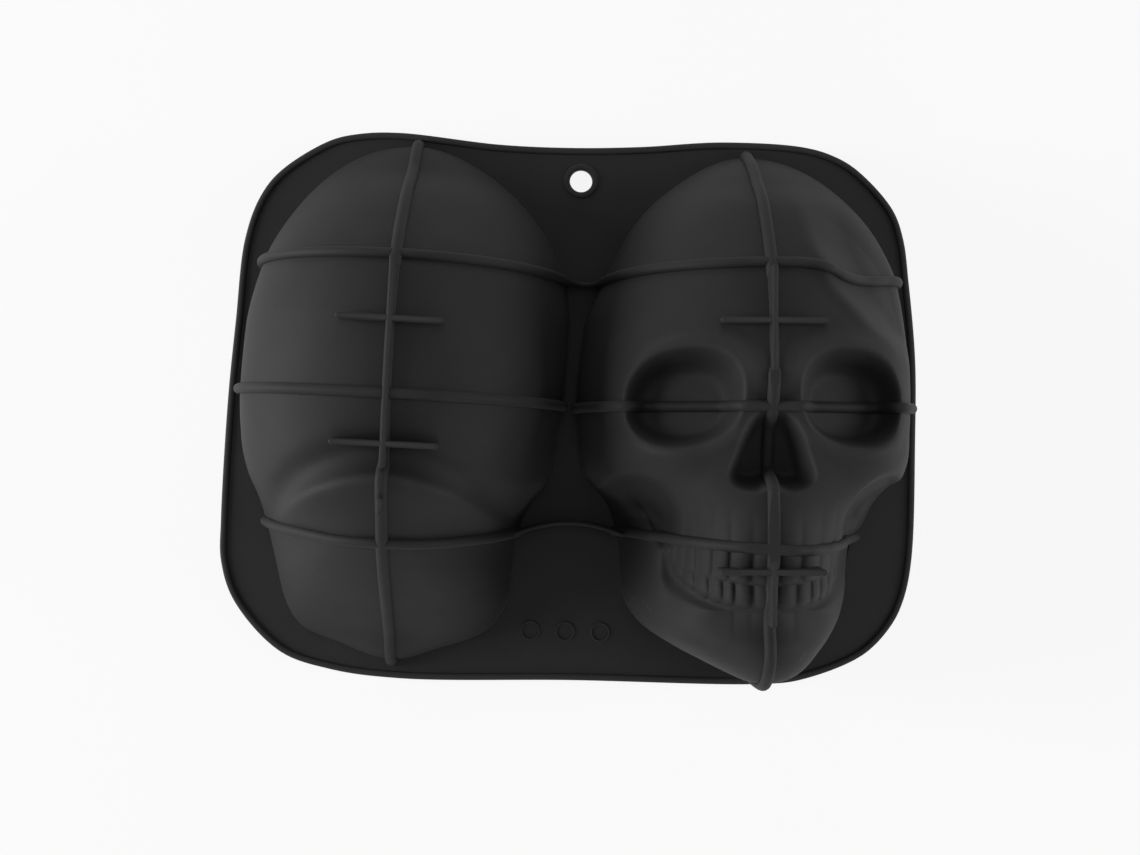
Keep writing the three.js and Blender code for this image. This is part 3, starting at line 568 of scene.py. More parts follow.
BACK = Half(
    "back", -1, sculpt=nape,
    left=[(118.4, 0), (113, 25), (88.5, 52.5), (58, 67.5), (29, 72.3), (2.7, 72.7), (-21, 71.9),
          (-34.7, 69.3), (-47, 64.5), (-62, 59.5), (-75, 55.7), (-94, 49.9), (-105, 42), (-113, 21),
          (-118.4, 0)],
    right=[(118.4, 0), (111.8, 24.7), (94.6, 48.8), (74.4, 64.3), (58.2, 71), (37.7, 73.9), (5, 72.6),
           (-13.7, 70.8), (-32.4, 67.6), (-42, 61.6), (-51.5, 56.9), (-61, 54.7), (-76, 53.5), (-86, 52.7),
           (-99.4, 46.5), (-104.7, 40.7), (-113.7, 18.1), (-118.4, 0)],
    spine=[(118.4, 0), (105, 18), (89.5, 41), (77, 55), (64, 66.5), (52, 73.5), (32, 78.5), (8, 79.5),
           (-15, 78), (-33, 76), (-46, 72.5), (-59, 66.5), (-70, 57), (-81, 44.5), (-93, 30), (-106, 14.5),
           (-118.4, 0)],
    power=[(118.4, 2), (60, 2.1), (0, 2.3), (-30, 2.3), (-58, 2), (-80, 2.4), (-118.4, 2.6)],
    lift=[(118.4, 0.7), (60, 0.62), (0, 0.52), (-30, 0.62), (-58, 0.9), (-80, 0.8), (-118.4, 0.6)],
    fuller=[(118.4, 0), (60, 0.18), (0, 0.2), (-40, 0.12), (-118.4, 0.05)],
)

FACE = Half(
    "face", 1, sculpt=face,
    left=[(118.4, 0), (109.2, 26.4), (89.4, 49.6), (58.6, 66.8), (38, 74.6), (2, 78), (-13, 77.1),
          (-26, 75.5), (-34, 70.5), (-42, 64.3), (-53, 60.5), (-75, 57.3), (-82, 56.6), (-90, 54),
          (-96.5, 49), (-104, 37.5), (-109, 27), (-114.5, 14.5), (-118.4, 0)],
    right=[(118.4, 0), (112, 26), (93.6, 48.5), (75, 61.5), (58, 67.5), (30, 70), (4, 70.2), (-15, 70.2),
           (-28, 69.8), (-35, 65.4), (-43, 59.6), (-52, 55), (-62, 49.4), (-82, 46), (-90, 42.5),
           (-97, 37), (-104, 31), (-110, 25.5), (-115.5, 17.5), (-118.4, 0)],
    spine=[(118.4, 0), (117, 5), (101, 33), (88, 51), (76, 61.5), (65, 69.5), (58, 73.5), (36, 79.3),
           (20, 79.6), (8, 79.5), (-8, 78.5), (-24, 78.6), (-38, 80.3), (-48, 81), (-56, 81), (-60, 80.2),
           (-66, 78.4), (-84, 75), (-98, 73), (-106, 70), (-112, 65), (-115.5, 57), (-118.4, 0)],
    power=[(118.4, 2), (60, 2.3), (0, 2.9), (-20, 2.6), (-45, 2.3), (-58, 2.6), (-80, 2.3), (-118.4, 2.4)],
    lift=[(118.4, 0.7), (60, 0.55), (0, 0.5), (-20, 0.55), (-45, 1.1), (-58, 1.5), (-80, 0.9), (-100, 0.5),
          (-118.4, 0.4)],
    fuller=[(118.4, 0), (60, 0.25), (0, 0.32), (-28, 0.3), (-45, 0.1), (-80, 0.1), (-118.4, 0.15)],
)


# Meshes

SILICONE = bpy.data.materials.new("black_silicone")
SHEET_SILICONE = bpy.data.materials.new("black_silicone_sheet")


def piece(name, points, faces, nodes, sharp=35, material=SILICONE):
    """A smooth-shaded piece of the moulding that stands for some CAD nodes. Points are in millimetres."""
    mesh = bpy.data.meshes.new(name)
    mesh.from_pydata((np.asarray(points, float).reshape(-1, 3) * MM).tolist(), [], faces)
    mesh.validate()
    mesh.shade_smooth()
    mesh.set_sharp_from_angle(angle=math.radians(sharp))
    mesh.materials.append(material)
    thing = bpy.data.objects.new(name, mesh)
    bpy.context.collection.objects.link(thing)
    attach(thing, "root")
    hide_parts(*nodes)


def grid_faces(rows, columns, closed=False, flip=False):
    """Quads between neighbouring points of a grid, whose rows close on themselves if asked."""
    faces = []
    for r in range(rows - 1):
        for c in range(columns if closed else columns - 1):
            d = (c + 1) % columns
            quad = [r * columns + c, (r + 1) * columns + c, (r + 1) * columns + d, r * columns + d]
            faces.append(quad[::-1] if flip else quad)
    return faces


def joined(*parts):
    """Several (points, faces) as one."""
    points, faces = [], []
    for more_points, more_faces in parts:
        start = len(points)
        points.extend(np.asarray(more_points, float).reshape(-1, 3).tolist())
        faces.extend([[start + i for i in face] for face in more_faces])
    return points, faces


POLE_MARGIN = 0.01
EVEN_SHARE = 0.45
CROWDED_SHARE = 0.55


def rows_between(segments):
    """Places along a half: each segment is (from v, to v, steps), evenly spaced by end angle."""
    rows = [np.linspace(end_angle(a), end_angle(b), n, endpoint=False) for a, b, n in segments]
    angles = np.concatenate(rows + [[end_angle(segments[-1][1])]])
    pole = math.pi / 2 - POLE_MARGIN
    return HALF_LENGTH * np.sin(np.clip(angles, -pole, pole))


def columns_across(count):
    """Places across a half, -1 to 1, closer together at the wall."""
    t = np.linspace(-1, 1, count)
    return EVEN_SHARE * t + CROWDED_SHARE * np.sin(t * math.pi / 2)


def plan_points(half, v, q, margin=0.0):
    """Grid of places (u, v) in a half's plan, drawn in by a margin."""
    v, q = np.meshgrid(v, q, indexing="ij")
    u = q * half.edge(q, v) * (1 - margin / HALF_WIDTH)
    return u, v * (1 - margin / HALF_LENGTH)


def boundary(grid):
    """The outermost points of a grid of points, in order."""
    return np.concatenate([grid[0, :-1], grid[:-1, -1], grid[-1, :0:-1], grid[:0:-1, 0]])


def skirt(loop, rings):
    """A wall below a closed loop of points. Each ring is (distance outward, height)."""
    middle = loop.mean(0)
    ahead = np.roll(loop, -1, 0) - np.roll(loop, 1, 0)
    outward = np.stack([ahead[:, 1], -ahead[:, 0]], -1)
    outward /= np.maximum(np.linalg.norm(outward, axis=1, keepdims=True), 1e-9)
    inward = ((loop[:, :2] - middle[:2]) * outward).sum(1) < 0
    outward[inward] *= -1
    levels = [loop]
    for distance, height in rings:
        ring = loop.copy()
        ring[:, :2] += distance * outward
        ring[:, 2] = height
        levels.append(ring)
    return np.array(levels)


MOUTH_MARGIN = 1.25 * WALL

# Walls below the shell's two surfaces: (distance outward, height) of each ring
SHELL_FOOT = [(0, SHEET), (0.4, SHEET - 0.6)]
MOUTH_LIP = [(0, SHEET), (0, 0.9), (0.12, 0.4), (0.4, 0.1), (0.9, 0.0)]
LEAST_ROOF = SHEET + 0.5


def shell(half, outside, inside):
    """The hollow wall of a half: its outer surface, its cavity and the lip of its mouth."""
    rows, columns = outside
    u, v = plan_points(half, rows_between(rows), columns_across(columns))
    outer = half.place(np.stack([u, v, half.height(u, v)], -1))
    rows, columns = inside
    u, v = plan_points(half, rows_between(rows), columns_across(columns), MOUTH_MARGIN)
    roof = np.maximum(half.cavity(u, v), LEAST_ROOF)
    inner = half.place(np.stack([u, v, roof], -1))
    foot_wall = skirt(boundary(outer), SHELL_FOOT)
    lip = skirt(boundary(inner), MOUTH_LIP)
    points, faces = joined(
        (outer, grid_faces(*outer.shape[:2])),
        (foot_wall, grid_faces(*foot_wall.shape[:2], closed=True, flip=True)),
        (inner, grid_faces(*inner.shape[:2], flip=True)),
        (lip, grid_faces(*lip.shape[:2], closed=True)),
    )
    piece(f"{half.name}_shell", points, faces, [f"{half.name}_cavity_shell"], sharp=60)


# Beads

BEAD_SIDES = 15
BEAD_FOOT = [(-0.9, -0.24), (-0.72, -0.36), (-0.62, -0.95), (0.62, -0.95), (0.72, -0.36), (0.9, -0.24)]
BEAD_END_STEPS = 5
TOP_ROUNDING = 0.3


def tube(path, radius, across, top):
    """A round bead on a narrower foot along a path on the wall, with round ends, cut flat at a height."""
    path = np.asarray(path, float)
    tangents = np.gradient(path, axis=0)
    tangents /= np.linalg.norm(tangents, axis=1, keepdims=True)
    outward = np.cross(tangents, across)
    outward *= np.sign(outward[len(outward) // 2, 2])
    path = path + BEAD_LIFT * outward
    shares = np.sin(np.linspace(0, math.pi / 2, BEAD_END_STEPS + 1))[1:]
    stations = [(point, out, radius) for point, out in zip(path, outward)]
    for share in shares:
        thinner = radius * math.sqrt(1 - share * share)
        stations.insert(0, (path[0] - tangents[0] * radius * share, outward[0], thinner))
        stations.append((path[-1] + tangents[-1] * radius * share, outward[-1], thinner))
    ring = [(math.cos(a), math.sin(a)) for a in np.linspace(0, math.pi, BEAD_SIDES)] + BEAD_FOOT
    rings = np.array([[point + r * (x * across + y * out) for x, y in ring] for point, out, r in stations])
    rings[..., 2] = least(rings[..., 2], top, TOP_ROUNDING)
    return rings, grid_faces(*rings.shape[:2], closed=True)


def smoothed(values, passes):
    """Values along a path, evened out, with both ends kept."""
    values = np.array(values, float)
    for _ in range(passes):
        values[1:-1] = (values[:-2] + 2 * values[1:-1] + values[2:]) / 4
    return values


TOE_HEIGHT = SHEET + 0.2


def over_edges(path):
    """A path over a half, taken straight down into the sheet at both ends."""
    first, last = path[0].copy(), path[-1].copy()
    first[2] = last[2] = TOE_HEIGHT
    return np.vstack([first, path, last])


SPINE_STEPS = 321
CROSS_STEPS = 281

SUNK_FADE = 4
EDGE_SHARE = 0.999

# Passes that even out a bead's height along it
EVENING = 3
FACE_JAW_EVENING = 30


def spine_rib(half, sunk):
    """Bead along the midline of a half, sunk into the wall under the blades: (from v, to v, depth)."""
    v = HALF_LENGTH * np.cos(np.linspace(0, math.pi, SPINE_STEPS))
    height = smoothed(half.height(np.zeros_like(v), v), EVENING)
    for high, low, depth in sunk:
        height = height - depth * step(v - low, 0, SUNK_FADE) * step(high - v, 0, SUNK_FADE)
    path = over_edges(np.stack([np.zeros_like(v), v, height], -1))
    rings, faces = tube(path, SPINE_RADIUS, np.array([1.0, 0, 0]), FOOT_HEIGHT - 2 * TOP_STEP)
    piece(f"{half.name}_spine", half.place(rings), faces, [f"{half.name}_spine_rib"])


def cross_rib(half, label, place, evening=EVENING):
    """Bead across a half, whose place along it at u is place(u), the more even the more passes it gets."""
    q = np.sin(np.linspace(-math.pi / 2, math.pi / 2, CROSS_STEPS))
    u = q * half.edge(q, np.full_like(q, float(place(0))))
    v = place(u)
    limit = EDGE_SHARE * half.edge(q, v)
    u = np.clip(u, -limit, limit)
    path = over_edges(np.stack([u, v, smoothed(half.height(u, v), evening)], -1))
    rings, faces = tube(path, BEAD_RADIUS, np.array([0, 1.0, 0]), FOOT_HEIGHT - 3 * TOP_STEP)
    nodes = [f"{half.name}_{label}_rib_{side}" for side in ("left", "right")]
    piece(f"{half.name}_{label}_bead", half.place(rings), faces, nodes)


def level(v):
    """A bead's place that is the same right across the half."""
    return lambda u: np.full_like(np.asarray(u, float), v)


BACK_CROWN_PLACE = 59.5
BACK_MIDDLE_PLACE = 1.8
BACK_JAW = curve([(-60, -57.6), (-44, -58), (-12, -60), (12, -60), (40, -58.4), (56, -56.6)])
FACE_CROWN = curve([(-70, 58.4), (-59, 59.3), (-30, 60), (8, 60.6), (17, 60.1), (24.6, 58.2), (30.5, 56),
                    (37, 55.2), (46, 55.6), (56, 57.2), (66, 58.4), (75, 58.6)])
FACE_EYE_PLACE = 1.2
FACE_JAW = curve([(-60, -55.2), (-36, -55.4), (-10, -56.5), (19, -57.8), (50, -57.6)])


# Feet

# Edge of a blade, from its flat top down: (distance inward, drop)
BLADE_EDGE = [(0.75, 0.0), (0.4, 0.1), (0.12, 0.4), (0.0, 0.9)]
BLADE_DEPTH = 14.0
BLADE_SINK = 1.0
BLADE_END_POINTS = 9
BLADE_SIDE_POINTS = 25


def blade_part(half, centre, length, turn, top):
    """An upright blade with round ends and softened top edges, down into the half under it."""
    straight = length / 2 - BLADE_WIDTH / 2
    arc = np.linspace(-math.pi / 2, math.pi / 2, BLADE_END_POINTS)
    long_side = np.linspace(straight, -straight, BLADE_SIDE_POINTS)[1:-1]
    right = [(straight + BLADE_WIDTH / 2 * math.cos(a), BLADE_WIDTH / 2 * math.sin(a)) for a in arc]
    left = [(-x, -y) for x, y in right]
    upper = [(x, BLADE_WIDTH / 2) for x in long_side]
    lower = [(-x, -BLADE_WIDTH / 2) for x in long_side]
    outline = np.array(right + upper + left + lower)
    axis = np.clip(outline[:, 0], -straight, straight)

    def spot(inward):
        """The outline on the half's plan, drawn in to its long axis by a distance."""
        share = 1 - inward / (BLADE_WIDTH / 2)
        x = axis + (outline[:, 0] - axis) * share
        y = outline[:, 1] * share
        return x * math.cos(turn) - y * math.sin(turn), x * math.sin(turn) + y * math.cos(turn) + centre

    count = len(outline)
    rings = [np.column_stack([*spot(inward), np.full(count, top - drop)]) for inward, drop in BLADE_EDGE]
    u, v = spot(0)
    root = np.minimum(top - BLADE_DEPTH, half.height(u, v) - BLADE_SINK)
    rings = np.array(rings + [np.column_stack([u, v, root])])
    faces = grid_faces(*rings.shape[:2], closed=True, flip=True)
    faces.append(list(range(count)))
    return half.place(rings), faces


def foot(half, node, span, crossbars):
    """A foot: a blade along the midline and the crossbars over it."""
    parts = [blade_part(half, sum(span) / 2, span[0] - span[1], math.pi / 2, FOOT_HEIGHT)]
    parts += [blade_part(half, v, CROSSBAR_LENGTH, 0, FOOT_HEIGHT - TOP_STEP) for v in crossbars]
    points, faces = joined(*parts)
    piece(f"{node}_blades", points, faces, [node])


# The sheet and what stands on it

SHEET_POINTS = [
    (158.9, -10), (157.9, 27), (153.7, 64.2), (150.8, 82.9), (145.3, 96.8), (127.8, 114.9), (115.7, 121.3),
    (101.5, 124.6), (64, 125.4), (26.7, 122), (-5.9, 120.5), (-38.5, 120.9), (-85, 124.8), (-103.4, 123.7),
    (-117.2, 120), (-139.8, 104.8), (-148.6, 92.4), (-154.7, 73), (-157.7, 35.9), (-160.2, -1.2),
    (-161.7, -56.7), (-161.1, -75.1), (-154.6, -93.4), (-133, -116.1), (-109.7, -123.8), (-77.4, -127.3),
    (1.3, -126.2), (90, -125.8), (108.3, -123.4), (136.8, -111.3), (149.8, -97.3), (155.3, -85.2),
    (158.6, -66.5),
]
SPAN_STEPS = 24
RIM_STEPS = 420
MOUTH_STEPS = 150
ROUND_STEPS = 72
COLLAR_STEPS = 96

# How far the sheet's outlines stop short of the rim's, the collar's and the shells' own surfaces
RIM_TUCK = 0.4
COLLAR_TUCK = 0.6
MOUTH_TUCK = 0.9


def sheet_outline(count):
    """Evenly spaced points round the sheet's edge, on a smooth closed curve through its points."""
    knots = np.array(SHEET_POINTS, float)
    n = len(knots)
    fine = []
    for i in range(n):
        p = [knots[(i + k) % n] for k in (-1, 0, 1, 2)]
        t = [0.0]
        for a, b in zip(p, p[1:]):
            t.append(t[-1] + math.sqrt(np.linalg.norm(b - a)))
        for s in np.linspace(t[1], t[2], SPAN_STEPS, endpoint=False):
            a = [((t[k + 1] - s) * p[k] + (s - t[k]) * p[k + 1]) / (t[k + 1] - t[k]) for k in range(3)]
            b = [((t[k + 2] - s) * a[k] + (s - t[k]) * a[k + 1]) / (t[k + 2] - t[k]) for k in range(2)]
            fine.append(((t[2] - s) * b[0] + (s - t[1]) * b[1]) / (t[2] - t[1]))
    fine = np.array(fine + fine[:1])
    length = np.concatenate([[0], np.cumsum(np.linalg.norm(np.diff(fine, axis=0), axis=1))])
    even = np.linspace(0, length[-1], count, endpoint=False)
    return np.stack([np.interp(even, length, fine[:, k]) for k in (0, 1)], -1) + ORIGIN


def inward_of(outline):
    """Unit directions into an anticlockwise outline."""
    ahead = np.roll(outline, -1, 0) - np.roll(outline, 1, 0)
    inward = np.stack([-ahead[:, 1], ahead[:, 0]], -1)
    return inward / np.linalg.norm(inward, axis=1, keepdims=True)


def swept_loop(outline, section):
    """A closed section, (inset, height) points, carried round an outline."""
    inward = inward_of(outline)
    rings = np.array([
        [[*(point + inset * direction), height] for inset, height in section]
        for point, direction in zip(outline, inward)
    ])
    rings = np.concatenate([rings, rings[:1]])
    return rings, grid_faces(*rings.shape[:2], closed=True)


def circle(centre, radius, count):
    """Evenly spaced points round a circle."""
    angles = np.linspace(0, 2 * math.pi, count, endpoint=False)
    return np.stack([centre[0] + radius * np.cos(angles), centre[1] + radius * np.sin(angles)], -1)


def mouth_outline(half, margin):
    """Outline of a half's mouth in the sheet."""
    v = rows_between([(HALF_LENGTH, -HALF_LENGTH, MOUTH_STEPS)])
    u, v = plan_points(half, v, np.array([-1.0, 1.0]), margin)
    loop = np.concatenate([np.stack([u[:, 0], v[:, 0]], -1), np.stack([u[::-1, 1], v[::-1, 1]], -1)])
    return half.place(np.column_stack([loop, np.zeros(len(loop))]))[:, :2]


def plate():
    """The flat sheet with the two mouths and the hang hole, filled between its outlines."""
    outline = sheet_outline(RIM_STEPS)
    loops = [outline + RIM_TUCK * inward_of(outline)]
    loops += [circle(HOLE_CENTRE, HOLE_RADIUS + COLLAR_TUCK, ROUND_STEPS)]
    loops += [mouth_outline(half, MOUTH_MARGIN - MOUTH_TUCK) for half in (BACK, FACE)]
    shape = bpy.data.curves.new("sheet_shape", "CURVE")
    shape.dimensions = "2D"
    shape.fill_mode = "BOTH"
    shape.extrude = SHEET / 2 * MM
    for loop in loops:
        spline = shape.splines.new("POLY")
        spline.points.add(len(loop) - 1)
        corners = np.column_stack([loop * MM, np.zeros(len(loop)), np.ones(len(loop))])
        spline.points.foreach_set("co", corners.ravel())
        spline.use_cyclic_u = True
    holder = bpy.data.objects.new("sheet_shape", shape)
    filled = bpy.data.meshes.new_from_object(holder)
    points = np.array([vertex.co for vertex in filled.vertices]) / MM + [0, 0, SHEET / 2]
    faces = [list(polygon.vertices) for polygon in filled.polygons]
    bpy.data.objects.remove(holder)
    bpy.data.curves.remove(shape)
    bpy.data.meshes.remove(filled)
    piece("sheet", points, faces, ["flange_plate"], material=SHEET_SILICONE)


def rim():
    """Bead round the edge: it wraps the sheet's edge and stands over it."""
    top = SHEET + RIM_RISE
    section = [(0.6, 0.0), (0.15, 0.2), (0.0, 0.7), (0.0, SHEET), (0.05, top - 0.9), (0.2, top - 0.5),
               (0.5, top - 0.22), (1.0, top - 0.04), (1.6, top + 0.02), (2.2, top - 0.06),
               (2.7, top - 0.3), (3.0, top - 0.7), (3.1, SHEET + 0.25), (RIM_WIDTH, SHEET - 0.1),
               (RIM_WIDTH, 1.5), (0.9, 0.3)]
    rings, faces = swept_loop(sheet_outline(RIM_STEPS), section)
    piece("rim", rings, faces, ["rim_bead"], sharp=50)


# Section of a care ring: shares of its width and of its rise
RING_SECTION = [(0, 0), (0.03, 0.6), (0.16, 0.93), (0.35, 1), (0.65, 1), (0.84, 0.93), (0.97, 0.6), (1, 0)]
RING_SINK = 0.4


def care_ring(label, place):
    """One raised ring of the row, with a rounded top. Its place is counted from the middle one."""
    centre = np.array(MARKS_PLACE) + ORIGIN + [place * MARK_PITCH, 0]
    section = [(x * MARK_LINE, SHEET + y * MARK_RISE) for x, y in RING_SECTION]
    section = [(0, SHEET - RING_SINK), *section, (MARK_LINE, SHEET - RING_SINK)]
    rings, faces = swept_loop(circle(centre, MARK_DIAMETER / 2, ROUND_STEPS), section)
    piece(f"ring_{label}", rings, faces, [f"care_mark_{label}"], sharp=50)


def hang_collar():
    """Rounded eyelet whose inner wall lines the hang hole down through the sheet."""
    top = SHEET + COLLAR_RISE
    section = [(0, SHEET - 0.3), (0.05, SHEET + 0.3), (0.3, top - 0.35), (0.8, top - 0.05), (1.45, top),
               (2.1, top - 0.05), (2.6, top - 0.35), (2.85, SHEET + 0.3), (COLLAR_WIDTH, SHEET - 0.6),
               (COLLAR_WIDTH, 0.6), (COLLAR_WIDTH - 0.2, 0.15), (COLLAR_WIDTH - 0.7, 0.0)]
    rings, faces = swept_loop(circle(HOLE_CENTRE, HOLE_RADIUS + COLLAR_WIDTH, COLLAR_STEPS), section)
    piece("collar", rings, faces, ["hang_collar"], sharp=50)


WEB_END_RISE = 14.0
WEB_OVERLAP = 3.0
WEB_STEPS = 49


def web(name, node, places, bow, middle_rise):
    """A thin upright tie between the ends of two beads, bowed along the valley and lower in the middle."""
    ends = []
    for half, v, side in ((BACK, places[0], 1.0), (FACE, places[1], -1.0)):
        u = side * float(half.edge(np.array(side), np.array(float(v))))
        ends.append(half.place(np.array([u, v, SHEET])))
    start, run = ends[0], ends[1] - ends[0]
    overlap = WEB_OVERLAP / np.linalg.norm(run)
    half_width = WEB_THICKNESS / 2
    rings = []
    for t in np.linspace(-overlap, 1 + overlap, WEB_STEPS):
        swing = (2 * t - 1) ** 2
        x, y = (start + run * t)[:2]
        y += bow * (1 - swing)
        top = SHEET + middle_rise + (WEB_END_RISE - middle_rise) * min(swing, 1)
        rising = [(-1, SHEET - 0.5), (-1, top - 0.8), (-0.8, top - 0.25), (-0.4, top)]
        section = rising + [(-share, height) for share, height in reversed(rising)]
        rings.append([[x, y + share * half_width, height] for share, height in section])
    rings = np.array(rings)
    piece(name, rings, grid_faces(*rings.shape[:2], closed=True, flip=True), [node], sharp=50)


# Silicone

DARK_SILICONE = (0.0128, 0.0128, 0.0131, 1)
BLOOMED_SILICONE = (0.0168, 0.0168, 0.0171, 1)
# Colour of raised edges: partly wear, partly a painted highlight where the edges catch the light
EDGE_WEAR_AND_HIGHLIGHT = (0.034, 0.034, 0.0346, 1)
ROUGHNESS = (0.64, 0.78)
SPECULAR_LEVEL = 0.17
EDGE_STRENGTH = 0.7
EDGE_SHARPNESS = (0.505, 0.575)


def silicone_material(material, edge_wear_and_highlight):
    """Matt black silicone: fine moulded grain, a faint bloom in patches and, if asked, lighter raised
    edges, partly wear and partly a painted highlight.
    """
    material.use_nodes = True
    nodes, links = material.node_tree.nodes, material.node_tree.links
    shader = nodes["Principled BSDF"]
    coordinates = nodes.new("ShaderNodeTexCoord")

    def noise(scale, detail, roughness):
        node = nodes.new("ShaderNodeTexNoise")
        node.inputs["Scale"].default_value = scale
        node.inputs["Detail"].default_value = detail
        node.inputs["Roughness"].default_value = roughness
        links.new(coordinates.outputs["Object"], node.inputs["Vector"])
        return node.outputs["Fac"]

    def ramp(value, low, high, from_low=0.3, from_high=0.7):
        node = nodes.new("ShaderNodeMapRange")
        node.inputs["From Min"].default_value = from_low
        node.inputs["From Max"].default_value = from_high
        node.inputs["To Min"].default_value = low
        node.inputs["To Max"].default_value = high
        links.new(value, node.inputs["Value"])
        return node.outputs["Result"]

    def relief(height, strength, distance):
        node = nodes.new("ShaderNodeBump")
        node.inputs["Strength"].default_value = strength
        node.inputs["Distance"].default_value = distance
        links.new(height, node.inputs["Height"])
        return node

    bloom = noise(scale=38, detail=4, roughness=0.6)
    grain = noise(scale=2600, detail=3, roughness=0.7)
    pits = noise(scale=900, detail=2, roughness=0.5)

    colour = nodes.new("ShaderNodeMix")
    colour.data_type = "RGBA"
    colour.inputs["A"].default_value = DARK_SILICONE
    colour.inputs["B"].default_value = BLOOMED_SILICONE
    links.new(ramp(bloom, 0, 1), colour.inputs["Factor"])
    links.new(colour.outputs["Result"], shader.inputs["Base Color"])
    # Raised edges turn lighter by their pointiness: partly wear, partly a painted highlight where the edges
    # catch the light
    if edge_wear_and_highlight:
        edges = nodes.new("ShaderNodeMix")
        edges.data_type = "RGBA"
        edges.inputs["B"].default_value = EDGE_WEAR_AND_HIGHLIGHT
        geometry = nodes.new("ShaderNodeNewGeometry")
        sharpness = ramp(geometry.outputs["Pointiness"], 0, EDGE_STRENGTH, *EDGE_SHARPNESS)
        links.new(sharpness, edges.inputs["Factor"])
        links.new(colour.outputs["Result"], edges.inputs["A"])
        links.new(edges.outputs["Result"], shader.inputs["Base Color"])
    links.new(ramp(grain, *ROUGHNESS), shader.inputs["Roughness"])
    shader.inputs["Specular IOR Level"].default_value = SPECULAR_LEVEL

    fine = relief(grain, strength=0.12, distance=0.0001)
    coarse = relief(pits, strength=0.08, distance=0.0003)
    links.new(fine.outputs["Normal"], coarse.inputs["Normal"])
    links.new(coarse.outputs["Normal"], shader.inputs["Normal"])


# Surroundings, measured in metres

WORLD_LIGHT = 0.06
FLOOR_HALF_SIZE = 3.0
FLOOR_TONE = 0.8
FLOOR_ROUGHNESS = 0.9
FLOOR_WHITE_SHARE = 0.88
LAMP_DISTANCE = 1.6
LAMP_SIZE = 0.7

# Each lamp's direction round the mould and up from the floor, in degrees, and its power in watts
LAMPS = {
    "left": (180, 16, 32),
    "right": (0, 19, 15),
    "back": (90, 15, 4.5),
    "front": (-90, 15, 6.5),
    "top": (90, 78, 2.5),
}


def seen_directly(nodes, links):
    """1 for what the camera sees, also in a mirror or through glass, and 0 for light that is shed."""
    path = nodes.new("ShaderNodeLightPath")
    seen = path.outputs["Is Camera Ray"]
    for name in ("Is Glossy Ray", "Is Transmission Ray"):
        both = nodes.new("ShaderNodeMath")
        both.operation = "MAXIMUM"
        links.new(seen, both.inputs[0])
        links.new(path.outputs[name], both.inputs[1])
        seen = both.outputs["Value"]
    return seen


def mix_in_white(material):
    """Mixes white into what is seen of a material, and leaves the light that it sheds alone."""
    nodes, links = material.node_tree.nodes, material.node_tree.links
    scaled = nodes.new("ShaderNodeMath")
    scaled.operation = "MULTIPLY"
    scaled.inputs[1].default_value = FLOOR_WHITE_SHARE
    links.new(seen_directly(nodes, links), scaled.inputs[0])
    white = nodes.new("ShaderNodeEmission")
    mix = nodes.new("ShaderNodeMixShader")
    links.new(scaled.outputs["Value"], mix.inputs["Fac"])
    links.new(nodes["Principled BSDF"].outputs["BSDF"], mix.inputs[1])
    links.new(white.outputs["Emission"], mix.inputs[2])
    links.new(mix.outputs["Shader"], nodes["Material Output"].inputs["Surface"])


def floor():
    """A wide pale floor."""
    size = FLOOR_HALF_SIZE
    mesh = bpy.data.meshes.new("floor")
    corners = [(-size, -size, 0), (size, -size, 0), (size, size, 0), (-size, size, 0)]
    mesh.from_pydata(corners, [], [(0, 1, 2, 3)])
    material = bpy.data.materials.new("pale_floor")
    material.use_nodes = True
    shader = material.node_tree.nodes["Principled BSDF"]
    shader.inputs["Base Color"].default_value = (FLOOR_TONE, FLOOR_TONE, FLOOR_TONE, 1)
    shader.inputs["Roughness"].default_value = FLOOR_ROUGHNESS
    shader.inputs["Specular IOR Level"].default_value = 0.0
    mix_in_white(material)
    mesh.materials.append(material)
    ground = bpy.data.objects.new("floor", mesh)
    bpy.context.collection.objects.link(ground)


def world():
    """Even white surroundings: dim as light, white to the camera and in mirrors."""
    surroundings = bpy.data.worlds.new("studio")
    bpy.context.scene.world = surroundings
    surroundings.use_nodes = True
    nodes, links = surroundings.node_tree.nodes, surroundings.node_tree.links
    background = nodes["Background"]
    background.inputs["Color"].default_value = (1, 1, 1, 1)
    strength = nodes.new("ShaderNodeMapRange")
    strength.inputs["To Min"].default_value = WORLD_LIGHT
    strength.inputs["To Max"].default_value = 1.0
    links.new(seen_directly(nodes, links), strength.inputs["Value"])
    links.new(strength.outputs["Result"], background.inputs["Strength"])


def softbox(name, azimuth, elevation, watts):
    """A square lamp that stands round the mould and faces it. Angles are in degrees."""
    light = bpy.data.lights.new(f"{name}_softbox", "AREA")
    light.shape = "SQUARE"
    light.size = LAMP_SIZE
    light.energy = watts
    lamp = bpy.data.objects.new(f"{name}_softbox", light)
    around, above = math.radians(azimuth), math.radians(elevation)
    away = Vector((math.cos(above) * math.cos(around), math.cos(above) * math.sin(around), math.sin(above)))
    lamp.location = LAMP_DISTANCE * away
    lamp.rotation_euler = away.to_track_quat("Z", "Y").to_euler()
    bpy.context.collection.objects.link(lamp)


# Camera of the photograph, fitted in the plan's own millimetres
CAMERA_SHIFT = np.array([1.53, -19.07, -629.85])
CAMERA_PLAN_Y = 28.3
CAMERA_TURN = (-0.5, 1.3, -1.66)
CAMERA_PIXELS = 1352.0
SENSOR_WIDTH = 36.0
IMAGE_WIDTH = 1140


